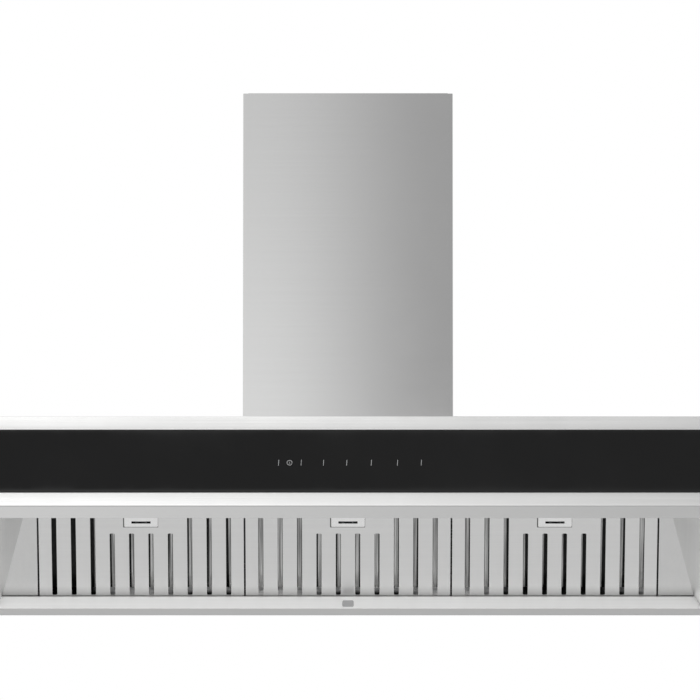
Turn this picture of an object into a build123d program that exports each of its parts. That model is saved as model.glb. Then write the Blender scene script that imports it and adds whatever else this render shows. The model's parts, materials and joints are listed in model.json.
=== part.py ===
from build123d import *
import os
from math import asin, cos, radians, sin, tan

os.makedirs("parts", exist_ok=True)

# Island range hood hung from a ceiling. Millimetres, +Z up, front towards -Y.
# The origin is the centre of the ceiling bracket's top face.

# Canopy
hood_width = 1200.0
hood_depth = 650.0
canopy_height = 156.0
sheet = 1.2
fold_radius = 1.8
strip_height = 24.0
top_return = 16.0
front_lip = 70.0
side_lip = 4.8
panel_flange = 14.0
flange_inset = 44.0

# Glass control front
glass_thickness = 5.0
glass_setback = 0.2
glass_gap = 0.8
glass_edge = 0.6
touch_length = 264.0
touch_height = 40.0
board_thickness = 1.6
touch_margin = 3.0
touch_cover_rim = 10.0
touch_cover_depth = 18.0
touch_cover_wall = 1.6

# Chimney covers and ceiling bracket
chimney_width = 350.0
chimney_depth = 350.0
chimney_height = 606.0
ceiling_gap = 3.0
chimney_step = 8.0
upper_chimney_height = 500.0
bracket_plate = 2.5
bracket_rim = 20.0
bracket_hole_radius = 4.5
bracket_hole_spacing = 230.0
duct_hole_margin = 13.0
upright_width = 30.0
upright_thickness = 2.5
upright_inset = 5.8
upright_foot = 15.0
slide_clearance = 0.3
height_travel = 350.0
bolt_radius = 3.0
bolt_head_radius = 5.0
bolt_head_height = 3.5
bolt_slack = 0.15
bolt_drop = 45.0
bolt_spacing = 60.0
slot_margin = 12.0

# Filter bay
bay_slope = 12.5
cheek_lean = 32.5
filter_count = 3
filler_strip = 18.9
filter_gap = 3.0
filter_length = 296.0
filter_depth = 20.0
filter_sheet = 1.0
filter_tongue = 11.0
filter_rim_end = 1.5
slot_count = 10
slot_width = 8.4
slot_side = 25.5
slot_corner = 3.0
slot_tail = 4.0
slot_head = 13.0
short_slot_end = 78.0
short_slots = 4
slot_lip = 9.0
baffle_spacing = 9.4
baffle_wall = 9.0
baffle_top_gap = 3.0
front_clearance = 1.5
seat_clearance = 0.3
keeper_margin = 6.0
keeper_flange = 18.0
lip_lap = 15.0
cheek_clearance = 0.3

# Filter latch
latch_width = 56.0
latch_length = 42.5
latch_inset = 10.0
latch_sheet = 1.5
latch_corner = 2.5
latch_window_width = 32.0
latch_window_length = 13.0
latch_window_offset = 11.4
latch_travel = 8.0
latch_slider_width = 34.0
latch_slider_length = 20.0
latch_slider_height = 5.0
latch_bolt_width = 18.0
latch_bolt_height = 2.0
latch_nose = 1.0
latch_rail = 1.2
latch_clearance = 0.3
latch_ridge = 3.4
latch_stop = 1.5
latch_border = 2.3
latch_spare = 4.0
spring_strip = 0.5
spring_height = 4.0

# Grease tray
tray_depth = 40.0
tray_wall_height = 22.0
tray_hem = 2.4
tray_rear_height = 30.0
tray_rear_flange = 10.0
tray_gap = 0.6
tray_end_gap = 0.5
grip_width = 19.0
grip_height = 11.2
grip_level = 8.6
grip_proud = 1.6
magnet_length = 30.0
magnet_size = 8.0
magnet_pitch = 480.0
magnet_gap = 0.2

# Lamps
lamp_spacing = 640.0
lamp_flange = 4.0
lamp_can_radius = 30.0
lamp_can_height = 16.0
lamp_bezel = 2.0
lamp_taper = -30.0
lamp_fit = 0.3
lamp_lens_border = 3.0
lamp_lens_thickness = 1.6

# Blower
scroll_radius = 90.0
scroll_growth = 8.0
scroll_half_width = 75.0
scroll_wall = 1.5
scroll_lift = 4.0
scroll_outlet_height = 120.0
inlet_lap = 2.0
inlet_ring = 8.0
impeller_gap = 12.0
blade_depth = 14.0
impeller_side_gap = 7.5
impeller_disc = 2.0
impeller_ring = 2.0
blade_count = 36
blade_thickness = 1.0
blade_angle = 35.0
hub_radius = 14.0
hub_length = 26.0
shaft_radius = 4.0
shaft_clearance = 0.06
shaft_overhang = 4.0
motor_radius = 42.0
motor_end = 8.0
motor_boss_length = 11.0
motor_boss_radius = 22.0
motor_bore_depth = 60.0
bracket_sheet = 2.0
bracket_arm = 14.0
bracket_arms = 3
blower_foot_width = 24.0
blower_foot_height = 44.0
blower_foot_landing = 18.0
blower_foot_spacing = 100.0
blower_opening = 264.0

# Outlet collar and damper
collar_radius = 75.0
collar_wall = 1.5
collar_height = 92.0
collar_shoulder = 3.0
collar_flare = 30.0
damper_level = 16.0
damper_gap = 0.7
damper_sheet = 1.2
damper_pin_radius = 2.5
damper_pin_offset = 3.5
damper_pin_clearance = 0.06
damper_ledge = 4.0
damper_ledge_height = 2.0

# Electrics
box_length = 200.0
box_depth = 120.0
box_height = 46.0
box_centre_x = -320.0
box_centre_y = -170.0
box_wall = 1.2
box_peg_radius = 3.0
box_peg_height = 8.0
box_board_margin = 9.0
transformer_length = 42.0
transformer_width = 36.0
transformer_height = 28.0
relay_count = 3
relay_length = 20.0
relay_width = 16.0
relay_height = 16.0
relay_gap = 8.0
capacitor_radius = 14.0
capacitor_length = 50.0
gland_radius = 8.0
gland_bore = 5.0
gland_flange_radius = 12.0
gland_height = 14.0
gland_margin = 16.0
gland_y = 70.0

# Screws
screw_radius = 1.9
screw_slack = 0.15
screw_head_radius = 4.0
screw_head_height = 2.0
screw_length = 5.0
screw_dome = 0.9
chimney_screw_rows = 3
side_screw_rows = 3
top_screws = 4
screw_end_margin = 40.0

# Levels and faces
front = -hood_depth / 2
rear = hood_depth / 2
half_width = hood_width / 2
inner_half = half_width - sheet
canopy_top = -(ceiling_gap + chimney_height)
canopy_bottom = canopy_top - canopy_height
under_top = canopy_top - sheet
inner_rear = rear - sheet
lip_edge = front + front_lip
recess = glass_setback + glass_thickness
glass_low = canopy_bottom + strip_height
glass_high = canopy_top - strip_height
glass_middle = (glass_low + glass_high) / 2
tray_front = rear - tray_depth
cheek_foot = inner_half - side_lip
gland_x = blower_opening / 2 + gland_margin

# Filter bay plane: origin on the hinge line, y down the slope to the rear, z away from the cook
slope = radians(bay_slope)
lean = radians(cheek_lean)
bay_normal = Vector(0, sin(slope), cos(slope))
hinge = Vector(0, tray_front + tray_hem / 2, canopy_bottom + tray_wall_height - tray_hem / 2)
bay_origin = hinge + bay_normal * (tray_hem / 2 + seat_clearance)
keeper_y = -(filter_length + front_clearance)
keeper_height = filter_depth + keeper_margin

# Blower axis, so that the scroll's outlet is centred under the duct
scroll_y = -(scroll_radius + 2 * scroll_growth) / 2
scroll_z = canopy_top + scroll_radius + 2 * scroll_growth + scroll_lift
outlet_top = scroll_z + scroll_outlet_height
outlet_width = scroll_radius + 3 * scroll_growth
impeller_radius = scroll_radius - impeller_gap
impeller_eye_radius = impeller_radius - blade_depth
impeller_half_width = scroll_half_width - scroll_wall - impeller_side_gap
inlet_radius = impeller_eye_radius - inlet_lap
collar_foot = outlet_top + collar_flare
damper_z = collar_foot + damper_level


def bay_plane(x):
    """Plane of one filter's visible face, x along the hood."""
    return Plane(origin=(x, bay_origin.Y, bay_origin.Z), x_dir=(1, 0, 0), z_dir=bay_normal)


def bay_point(y, z):
    """Section point (Y, Z) of a place in the filter bay plane."""
    spot = bay_plane(0).from_local_coords(Vector(0, y, z))
    return (spot.Y, spot.Z)


def cheek_x(level):
    """Half width between the leaning cheeks at a level."""
    return cheek_foot - (level - canopy_bottom) * tan(lean)


# Filters share the width between the cheeks where the bay is narrowest
keeper_front, keeper_level = bay_point(keeper_y, 0)
bay_half = cheek_x(keeper_level) - filler_strip
filter_pitch = (2 * bay_half - filter_gap) / filter_count
filter_width = filter_pitch - filter_gap
slot_pitch = (filter_width - 2 * slot_side) / (slot_count - 1)


def block(x, y, z, mode=Mode.ADD):
    """Box between two corners, each axis given as (low, high)."""
    with Locations(((x[0] + x[1]) / 2, (y[0] + y[1]) / 2, (z[0] + z[1]) / 2)):
        Box(x[1] - x[0], y[1] - y[0], z[1] - z[0], mode=mode)


def panel(x, y, mode=Mode.ADD):
    """Rectangle between two corners of the open sketch."""
    with Locations(((x[0] + x[1]) / 2, (y[0] + y[1]) / 2)):
        Rectangle(x[1] - x[0], y[1] - y[0], mode=mode)


def folded(points, thickness=sheet, radius=fold_radius):
    """Section of a sheet bent along the points, thickened to the left of the path."""
    corners = [Vector(*point) for point in points]
    runs = [(end - start).normalized() for start, end in zip(corners, corners[1:])]
    sides = [Vector(-run.Y, run.X) for run in runs]
    back = [corners[0] + sides[0] * thickness]
    face_radii = []
    back_radii = []
    for corner, before, after in zip(corners[1:-1], sides, sides[1:]):
        back.append(corner + (before + after) * (thickness / (1 + before.dot(after))))
        outside_bend = before.cross(after).Z > 0
        face_radii.append(radius if outside_bend else radius - thickness)
        back_radii.append(radius - thickness if outside_bend else radius)
    back.append(corners[-1] + sides[-1] * thickness)
    with BuildLine() as outline:
        FilletPolyline(*corners, radius=face_radii)
        Line(corners[-1], back[-1])
        FilletPolyline(*back, radius=back_radii)
        Line(back[0], corners[0])
    make_face(outline.edges())


def write(piece, name):
    """Label a finished piece and write its file."""
    piece.label = name
    export_step(piece, f"parts/{name}.step")


# Screw places: (X, Z) on the rear faces
flange_middle = inner_half - panel_flange / 2
side_screw_low = canopy_bottom + flange_inset + screw_head_radius * 2
side_screw_high = under_top - panel_flange - screw_head_radius * 2
side_screw_step = (side_screw_high - side_screw_low) / (side_screw_rows - 1)
side_screw_levels = [side_screw_low + row * side_screw_step for row in range(side_screw_rows)]
top_screw_level = under_top - panel_flange / 2
top_screw_step = (2 * inner_half - 4 * panel_flange) / (top_screws - 1)
top_screw_first = -inner_half + 2 * panel_flange
top_screw_places = [top_screw_first + index * top_screw_step for index in range(top_screws)]
side_screws = [(side * flange_middle, level) for side in (-1, 1) for level in side_screw_levels]
rim_screws = [(x, top_screw_level) for x in top_screw_places]
chimney_flange_x = chimney_width / 2 - panel_flange / 2
chimney_screw_low = canopy_top + screw_end_margin
chimney_screw_step = (chimney_height - 2 * screw_end_margin) / (chimney_screw_rows - 1)
chimney_screw_levels = [chimney_screw_low + row * chimney_screw_step for row in range(chimney_screw_rows)]
chimney_screws = [(side * chimney_flange_x, level) for side in (-1, 1) for level in chimney_screw_levels]
screw_hole = screw_radius + screw_slack


def screw_holes(places):
    """Screw holes in the open sketch of a rear face."""
    with Locations(*places):
        Circle(screw_hole, mode=Mode.SUBTRACT)


def screw_set(places, face_y):
    """Dome-headed screws driven forward through a rear face."""
    with BuildPart() as screws:
        with BuildSketch(Plane.XZ.offset(-face_y)):
            with Locations(*places):
                Circle(screw_head_radius)
        extrude(amount=-screw_head_height)
        fillet(screws.faces().sort_by(Axis.Y)[-len(places):].edges(), radius=screw_dome)
        with BuildSketch(Plane.XZ.offset(-face_y)):
            with Locations(*places):
                Circle(screw_radius)
        extrude(amount=screw_length)
    return screws.part


# Front fascia: one sheet folded round the glass recess, ending in the lip under the front
with BuildPart() as front_fascia:
    with BuildSketch(Plane.YZ):
        folded(
            [
                (front + top_return, canopy_top),
                (front, canopy_top),
                (front, glass_high),
                (front + recess, glass_high),
                (front + recess, glass_low),
                (front, glass_low),
                (front, canopy_bottom),
                (lip_edge, canopy_bottom),
            ]
        )
    extrude(amount=inner_half, both=True)
    touch_hole_x = touch_length / 2 + touch_margin
    touch_hole_z = touch_height / 2 + touch_margin
    block(
        (-touch_hole_x, touch_hole_x),
        (front + recess - sheet, front + recess + 2 * sheet),
        (glass_middle - touch_hole_z, glass_middle + touch_hole_z),
        mode=Mode.SUBTRACT,
    )
front_fascia.part.label = "front_fascia"
export_step(front_fascia.part, "parts/front_fascia.step")

# Black glass bonded into the recess
with BuildPart() as glass_panel:
    block(
        (-inner_half + glass_gap, inner_half - glass_gap),
        (front + glass_setback, front + recess),
        (glass_low + glass_gap, glass_high - glass_gap),
    )
    chamfer(glass_panel.faces().sort_by(Axis.Y)[0].edges(), length=glass_edge)
glass_panel.part.label = "glass_panel"
export_step(glass_panel.part, "parts/glass_panel.step")

# Touch board against the back of the glass
with BuildPart() as touch_board:
    block(
        (-touch_length / 2, touch_length / 2),
        (front + recess, front + recess + board_thickness),
        (glass_middle - touch_height / 2, glass_middle + touch_height / 2),
    )
touch_board.part.label = "touch_board"
export_step(touch_board.part, "parts/touch_board.step")

# Cover over the touch board, open towards the glass
cover_face = front + recess + sheet
cover_x = touch_hole_x + touch_cover_rim
cover_z = touch_hole_z + touch_cover_rim
with BuildPart() as touch_board_cover:
    block(
        (-cover_x, cover_x),
        (cover_face, cover_face + touch_cover_depth),
        (glass_middle - cover_z, glass_middle + cover_z),
    )
    block(
        (-cover_x + touch_cover_wall, cover_x - touch_cover_wall),
        (cover_face, cover_face + touch_cover_depth - touch_cover_wall),
        (glass_middle - cover_z + touch_cover_wall, glass_middle + cover_z - touch_cover_wall),
        mode=Mode.SUBTRACT,
    )
touch_board_cover.part.label = "touch_board_cover"
export_step(touch_board_cover.part, "parts/touch_board_cover.step")

# Top panel with the blower opening, the gland hole and a flange down behind
with BuildPart() as top_panel:
    with BuildSketch(Plane.XY.offset(under_top)):
        panel((-inner_half, inner_half), (front + top_return, inner_rear))
        Rectangle(blower_opening, blower_opening, mode=Mode.SUBTRACT)
        with Locations((gland_x, gland_y)):
            Circle(gland_radius, mode=Mode.SUBTRACT)
    extrude(amount=sheet)
    with BuildSketch(Plane.XZ.offset(-inner_rear)):
        panel((-inner_half, inner_half), (under_top - panel_flange, under_top))
        screw_holes(rim_screws)
    extrude(amount=sheet)
top_panel.part.label = "top_panel"
export_step(top_panel.part, "parts/top_panel.step")

# Rear panel over the ends of the side panels
with BuildPart() as rear_panel:
    with BuildSketch(Plane.XZ.offset(-rear)):
        panel((-half_width, half_width), (canopy_bottom, canopy_top))
        screw_holes(side_screws + rim_screws)
    extrude(amount=sheet)
rear_panel.part.label = "rear_panel"
export_step(rear_panel.part, "parts/rear_panel.step")

# Side panels, each with a flange for the rear panel's screws
with BuildPart() as left_side_panel:
    block((-half_width, -inner_half), (front, inner_rear), (canopy_bottom, canopy_top))
    with BuildSketch(Plane.XZ.offset(-inner_rear)):
        panel(
            (-inner_half, -inner_half + panel_flange),
            (canopy_bottom + flange_inset, under_top - panel_flange),
        )
        screw_holes([place for place in side_screws if place[0] < 0])
    extrude(amount=sheet)
left_side_panel.part.label = "left_side_panel"
export_step(left_side_panel.part, "parts/left_side_panel.step")

with BuildPart() as right_side_panel:
    mirror(left_side_panel.part, about=Plane.YZ)
right_side_panel.part.label = "right_side_panel"
export_step(right_side_panel.part, "parts/right_side_panel.step")

# Cheeks: lip along the side, leaning face, and the strip that fills the bay beside the filters
cheek_rear = tray_front - tray_gap
strip_tail = (cheek_rear - bay_origin.Y) / cos(slope)
tail_level = bay_point(strip_tail, 0)[1]
cheek_plane = Plane(
    origin=(-cheek_foot, 0, canopy_bottom),
    x_dir=(0, 1, 0),
    z_dir=(cos(lean), 0, -sin(lean)),
)
with BuildPart() as left_cheek:
    block((-inner_half, -cheek_foot), (lip_edge, inner_rear), (canopy_bottom, canopy_bottom + sheet))
    with BuildSketch(cheek_plane):
        with BuildLine():
            Polyline(
                (lip_edge, 0),
                (cheek_rear, 0),
                (cheek_rear, (tail_level - canopy_bottom) / cos(lean)),
                (keeper_front, (keeper_level - canopy_bottom) / cos(lean)),
                close=True,
            )
        make_face()
    extrude(amount=-sheet)
    with BuildSketch(bay_plane(0)):
        with BuildLine():
            Polyline(
                (-cheek_x(keeper_level) - sheet, keeper_y),
                (-bay_half, keeper_y),
                (-bay_half, strip_tail),
                (-cheek_x(tail_level) - sheet, strip_tail),
                close=True,
            )
        make_face()
    extrude(amount=sheet)
left_cheek.part.label = "left_cheek"
export_step(left_cheek.part, "parts/left_cheek.step")

with BuildPart() as right_cheek:
    mirror(left_cheek.part, about=Plane.YZ)
right_cheek.part.label = "right_cheek"
export_step(right_cheek.part, "parts/right_cheek.step")

# Light panel: laps the front lip, rises to the bay and folds up as the filters' keeper wall
lip_top = canopy_bottom + sheet
panel_rise = keeper_level - lip_top
panel_run = keeper_front - lip_edge
panel_length = (panel_run ** 2 + panel_rise ** 2) ** 0.5
panel_slope = asin(panel_rise / panel_length)
lamp_normal = Vector(0, -sin(panel_slope), cos(panel_slope))


def lamp_plane(x):
    """Plane of the light panel's visible face at one lamp."""
    return Plane(
        origin=(x, (lip_edge + keeper_front) / 2, (lip_top + keeper_level) / 2),
        x_dir=(1, 0, 0),
        z_dir=lamp_normal,
    )


def cheek_cut(side):
    """Plane just inside one cheek's visible face."""
    return Plane(
        origin=(side * (cheek_foot - cheek_clearance), 0, canopy_bottom),
        x_dir=(0, 1, 0),
        z_dir=(side * cos(lean), 0, sin(lean)),
    )


with BuildPart() as light_panel:
    with BuildSketch(Plane.YZ):
        folded(
            [
                (lip_edge - lip_lap, lip_top),
                (lip_edge, lip_top),
                (keeper_front, keeper_level),
                bay_point(keeper_y, keeper_height),
                bay_point(keeper_y - keeper_flange, keeper_height),
            ]
        )
    extrude(amount=inner_half, both=True)
    for side in (-1, 1):
        split(bisect_by=cheek_cut(side), keep=Keep.BOTTOM)
        with BuildSketch(lamp_plane(side * lamp_spacing / 2)):
            Circle(lamp_can_radius)
        extrude(amount=2 * sheet, both=True, mode=Mode.SUBTRACT)
light_panel.part.label = "light_panel"
export_step(light_panel.part, "parts/light_panel.step")

# Lamps: a can with a bezel under the light panel, and a lens set in the bezel
lens_radius = lamp_can_radius - lamp_lens_border
for side_name, side in (("left", -1), ("right", 1)):
    lamp_seat = lamp_plane(side * lamp_spacing / 2)
    lamp_face = lamp_seat.offset(-lamp_bezel)
    with BuildPart() as lamp_body:
        with BuildSketch(lamp_face):
            Circle(lamp_can_radius + lamp_flange)
        extrude(amount=lamp_bezel, taper=lamp_taper)
        with BuildSketch(lamp_seat):
            Circle(lamp_can_radius - lamp_fit)
        extrude(amount=lamp_can_height)
        with BuildSketch(lamp_face):
            Circle(lens_radius)
        extrude(amount=lamp_lens_thickness, mode=Mode.SUBTRACT)
    write(lamp_body.part, f"lamp_body_{side_name}")
    with BuildPart() as lamp_lens:
        with BuildSketch(lamp_face):
            Circle(lens_radius)
        extrude(amount=lamp_lens_thickness)
    write(lamp_lens.part, f"lamp_lens_{side_name}")

# Grease tray: a trough along the rear whose round hem carries the filters' tongues
tray_half = cheek_foot - tray_end_gap
tray_rear = inner_rear - tray_gap
tray_top = canopy_bottom + tray_rear_height
with BuildPart() as grease_tray:
    with BuildSketch(Plane.YZ):
        panel((tray_front, tray_front + tray_hem), (canopy_bottom, hinge.Z))
        with Locations((hinge.Y, hinge.Z)):
            Circle(tray_hem / 2)
        panel((tray_front, tray_rear), (canopy_bottom, canopy_bottom + sheet))
        panel((tray_rear - sheet, tray_rear), (canopy_bottom, tray_top))
        panel((tray_rear - tray_rear_flange, tray_rear), (tray_top - sheet, tray_top))
    extrude(amount=tray_half, both=True)
    for side in (-1, 1):
        with BuildSketch(Plane.YZ.offset(side * tray_half)):
            panel((tray_front, tray_rear), (canopy_bottom, hinge.Z))
        extrude(amount=-side * sheet)
grease_tray.part.label = "grease_tray"
export_step(grease_tray.part, "parts/grease_tray.step")

# Grey tab on the tray's front wall
with BuildPart() as tray_grip:
    with BuildSketch(Plane.XZ.offset(-tray_front)):
        with Locations((0, canopy_bottom + grip_level)):
            RectangleRounded(grip_width, grip_height, grip_height / 4)
    extrude(amount=grip_proud)
    fillet(tray_grip.faces().sort_by(Axis.Y)[0].edges(), radius=grip_proud / 2)
tray_grip.part.label = "tray_grip"
export_step(tray_grip.part, "parts/tray_grip.step")

# Magnets on the rear panel, over the tray's rear flange
magnet_low = tray_top + magnet_gap
with BuildPart() as tray_magnets:
    for place in (-1, 0, 1):
        block(
            (place * magnet_pitch - magnet_length / 2, place * magnet_pitch + magnet_length / 2),
            (inner_rear - magnet_size, inner_rear),
            (magnet_low, magnet_low + magnet_size),
        )
tray_magnets.part.label = "tray_magnets"
export_step(tray_magnets.part, "parts/tray_magnets.step")

# Filter slots: the middle ones stop short of the latch
slot_places = [(index - (slot_count - 1) / 2) * slot_pitch for index in range(slot_count)]
short_reach = (short_slots - 1) / 2 * slot_pitch + slot_pitch / 4
long_slot_reach = filter_length - slot_head
short_slot_reach = filter_length - short_slot_end
baffle_width = slot_pitch - baffle_spacing
latch_front = -(filter_length - latch_inset)
latch_rear = latch_front + latch_length
window_rear = latch_rear - latch_window_offset
window_front = window_rear - latch_window_length
spring_end = latch_rear - latch_border
slider_rear = spring_end - latch_stop - latch_spare - latch_travel
slider_front = slider_rear - latch_slider_length
slider_top = latch_clearance + latch_slider_height
slider_half = latch_slider_width / 2
rail_half = slider_half + latch_clearance
cover_level = slider_top + latch_clearance
opening_half = rail_half + latch_rail + latch_clearance
opening_front = slider_front - latch_clearance
opening_rear = spring_end + latch_clearance
bolt_low = filter_sheet + latch_clearance


def slot_outlines(grow, mode):
    """Every slot of one filter, grown on all sides, in the open sketch."""
    for place in slot_places:
        reach = short_slot_reach if abs(place) < short_reach else long_slot_reach
        with Locations((place, -(slot_tail + reach) / 2)):
            RectangleRounded(
                slot_width + 2 * grow, reach - slot_tail + 2 * grow, slot_corner + grow, mode=mode
            )


def filter_face(x):
    """Slotted face with turned-up slot lips, a rim round it and a tongue at the rear."""
    half = filter_width / 2
    bay = bay_plane(x)
    with BuildPart(bay) as face:
        with BuildSketch(bay):
            panel((-half, half), (-filter_length, filter_tongue))
            slot_outlines(0, Mode.SUBTRACT)
            panel((-opening_half, opening_half), (opening_front, opening_rear), Mode.SUBTRACT)
        extrude(amount=filter_sheet)
        with BuildSketch(bay):
            panel((-half, half), (-filter_length, -filter_rim_end))
            panel(
                (-half + filter_sheet, half - filter_sheet),
                (-filter_length + filter_sheet, -filter_rim_end - filter_sheet),
                Mode.SUBTRACT,
            )
        extrude(amount=filter_depth)
        with BuildSketch(bay):
            slot_outlines(filter_sheet, Mode.ADD)
            slot_outlines(0, Mode.SUBTRACT)
        extrude(amount=slot_lip)
        block(
            (-latch_bolt_width / 2 - latch_clearance, latch_bolt_width / 2 + latch_clearance),
            (-filter_length - filter_sheet, -filter_length + 2 * filter_sheet),
            (bolt_low - latch_clearance, bolt_low + latch_bolt_height + latch_clearance),
            Mode.SUBTRACT,
        )
    return face.part


def filter_baffles(x):
    """Channels behind the slots, open to the cook, held between the rim's front and rear walls."""
    floor = filter_depth - baffle_top_gap
    middle = -(filter_length + filter_rim_end) / 2
    length = filter_length - filter_rim_end - 2 * filter_sheet
    with BuildPart(bay_plane(x)) as baffles:
        with BuildSketch(bay_plane(x).offset(floor - baffle_wall)):
            with Locations(*[(place, middle) for place in slot_places]):
                Rectangle(baffle_width, length)
        extrude(amount=baffle_wall)
        with BuildSketch(bay_plane(x).offset(floor - baffle_wall)):
            with Locations(*[(place, middle) for place in slot_places]):
                Rectangle(baffle_width - 2 * filter_sheet, length)
        extrude(amount=baffle_wall - filter_sheet, mode=Mode.SUBTRACT)
    return baffles.part


def latch_plate(x):
    """Plate on the face with a finger window, two rails for the slider and a spring stop."""
    with BuildPart(bay_plane(x)) as plate:
        with BuildSketch(bay_plane(x).offset(-latch_sheet)):
            with Locations((0, (latch_front + latch_rear) / 2)):
                RectangleRounded(latch_width, latch_length, latch_corner)
            panel(
                (-latch_window_width / 2, latch_window_width / 2),
                (window_front, window_rear),
                Mode.SUBTRACT,
            )
        extrude(amount=latch_sheet)
        for side in (-1, 1):
            edges = sorted((side * rail_half, side * (rail_half + latch_rail)))
            block(edges, (slider_front, spring_end), (0, cover_level))
        block((-rail_half, rail_half), (spring_end - latch_stop, spring_end), (0, cover_level))
        block(
            (-rail_half - latch_rail, rail_half + latch_rail),
            (slider_front, spring_end),
            (cover_level, cover_level + latch_rail),
        )
    return plate.part


def latch_slide(x):
    """Slider with a finger ridge in the window and a bolt towards the keeper wall."""
    with BuildPart(bay_plane(x)) as slide:
        block((-slider_half, slider_half), (slider_front, slider_rear), (latch_clearance, slider_top))
        block(
            (-latch_window_width / 2 + 1, latch_window_width / 2 - 1),
            (window_front + 1, window_front + 1 + latch_ridge),
            (-latch_sheet / 2, latch_clearance),
        )
        block(
            (-latch_bolt_width / 2, latch_bolt_width / 2),
            (-filter_length - latch_nose, slider_front),
            (bolt_low, bolt_low + latch_bolt_height),
        )
    return slide.part


def latch_spring(x):
    """Bowed strip spring between the slider and its stop."""
    start = slider_rear + latch_clearance + spring_strip
    end = spring_end - latch_stop - latch_clearance
    with BuildPart(bay_plane(x)) as spring:
        with BuildSketch(bay_plane(x).offset(latch_clearance)):
            with BuildLine():
                ThreePointArc((-slider_half + 2, end), (0, start), (slider_half - 2, end))
                Line((slider_half - 2, end), (slider_half - 2, end - spring_strip))
                ThreePointArc(
                    (slider_half - 2, end - spring_strip),
                    (0, start - spring_strip),
                    (-slider_half + 2, end - spring_strip),
                )
                Line((-slider_half + 2, end - spring_strip), (-slider_half + 2, end))
            make_face()
        extrude(amount=spring_height)
    return spring.part


for bay_name, bay in (("left", -1), ("center", 0), ("right", 1)):
    bay_x = bay * filter_pitch
    write(filter_face(bay_x), f"filter_face_{bay_name}")
    write(filter_baffles(bay_x), f"filter_baffles_{bay_name}")
    write(latch_plate(bay_x), f"latch_plate_{bay_name}")
    write(latch_slide(bay_x), f"latch_slide_{bay_name}")
    write(latch_spring(bay_x), f"latch_spring_{bay_name}")

# Chimney covers: the upper pair hangs inside the lower pair
lower_x = chimney_width / 2
lower_y = chimney_depth / 2
upper_x = lower_x - chimney_step
upper_y = lower_y - chimney_step
with BuildPart() as lower_chimney_front:
    with BuildSketch(Plane.XY.offset(canopy_top)):
        folded(
            [
                (-lower_x + panel_flange, lower_y - sheet),
                (-lower_x, lower_y - sheet),
                (-lower_x, -lower_y),
                (lower_x, -lower_y),
                (lower_x, lower_y - sheet),
                (lower_x - panel_flange, lower_y - sheet),
            ]
        )
    extrude(amount=chimney_height)
    with BuildSketch(Plane.XZ.offset(-lower_y)):
        with Locations(*chimney_screws):
            Circle(screw_hole)
    extrude(amount=4 * sheet, mode=Mode.SUBTRACT)
lower_chimney_front.part.label = "lower_chimney_front"
export_step(lower_chimney_front.part, "parts/lower_chimney_front.step")

with BuildPart() as lower_chimney_rear:
    with BuildSketch(Plane.XZ.offset(-lower_y)):
        panel((-lower_x, lower_x), (canopy_top, canopy_top + chimney_height))
        screw_holes(chimney_screws)
    extrude(amount=sheet)
lower_chimney_rear.part.label = "lower_chimney_rear"
export_step(lower_chimney_rear.part, "parts/lower_chimney_rear.step")

with BuildPart() as upper_chimney_front:
    with BuildSketch(Plane.XY):
        folded(
            [
                (-upper_x, upper_y - sheet),
                (-upper_x, -upper_y),
                (upper_x, -upper_y),
                (upper_x, upper_y - sheet),
            ]
        )
    extrude(amount=-upper_chimney_height)
upper_chimney_front.part.label = "upper_chimney_front"
export_step(upper_chimney_front.part, "parts/upper_chimney_front.step")

with BuildPart() as upper_chimney_rear:
    with BuildSketch(Plane.XZ.offset(-upper_y)):
        panel((-upper_x, upper_x), (-upper_chimney_height, 0))
    extrude(amount=sheet)
upper_chimney_rear.part.label = "upper_chimney_rear"
export_step(upper_chimney_rear.part, "parts/upper_chimney_rear.step")

# Uprights: slotted legs of the ceiling bracket slide inside the canopy's uprights
upright_outer_x = upper_x - sheet - upright_inset
upright_outer_y = upper_y - sheet - upright_inset
leg_outer_x = upright_outer_x - upright_thickness - slide_clearance
leg_outer_y = upright_outer_y - upright_thickness - slide_clearance
upright_top = -(bracket_rim + ceiling_gap)
leg_foot = canopy_top + upright_foot
bolt_levels = (upright_top - bolt_drop, upright_top - bolt_drop - bolt_spacing)
bolt_y = leg_outer_y - upright_width / 2
slot_high = max(bolt_levels) + slot_margin
slot_low = min(bolt_levels) - height_travel - slot_margin
corner_signs = [("front_left", -1, -1), ("front_right", 1, -1), ("rear_left", -1, 1), ("rear_right", 1, 1)]


def angle_section(x_sign, y_sign, outer_x, outer_y):
    """L section in one corner, legs pointing inwards, in the open sketch."""
    across = sorted((x_sign * outer_x, x_sign * (outer_x - upright_width)))
    along = sorted((y_sign * outer_y, y_sign * (outer_y - upright_width)))
    panel(across, sorted((y_sign * outer_y, y_sign * (outer_y - upright_thickness))))
    panel(sorted((x_sign * outer_x, x_sign * (outer_x - upright_thickness))), along)


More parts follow.
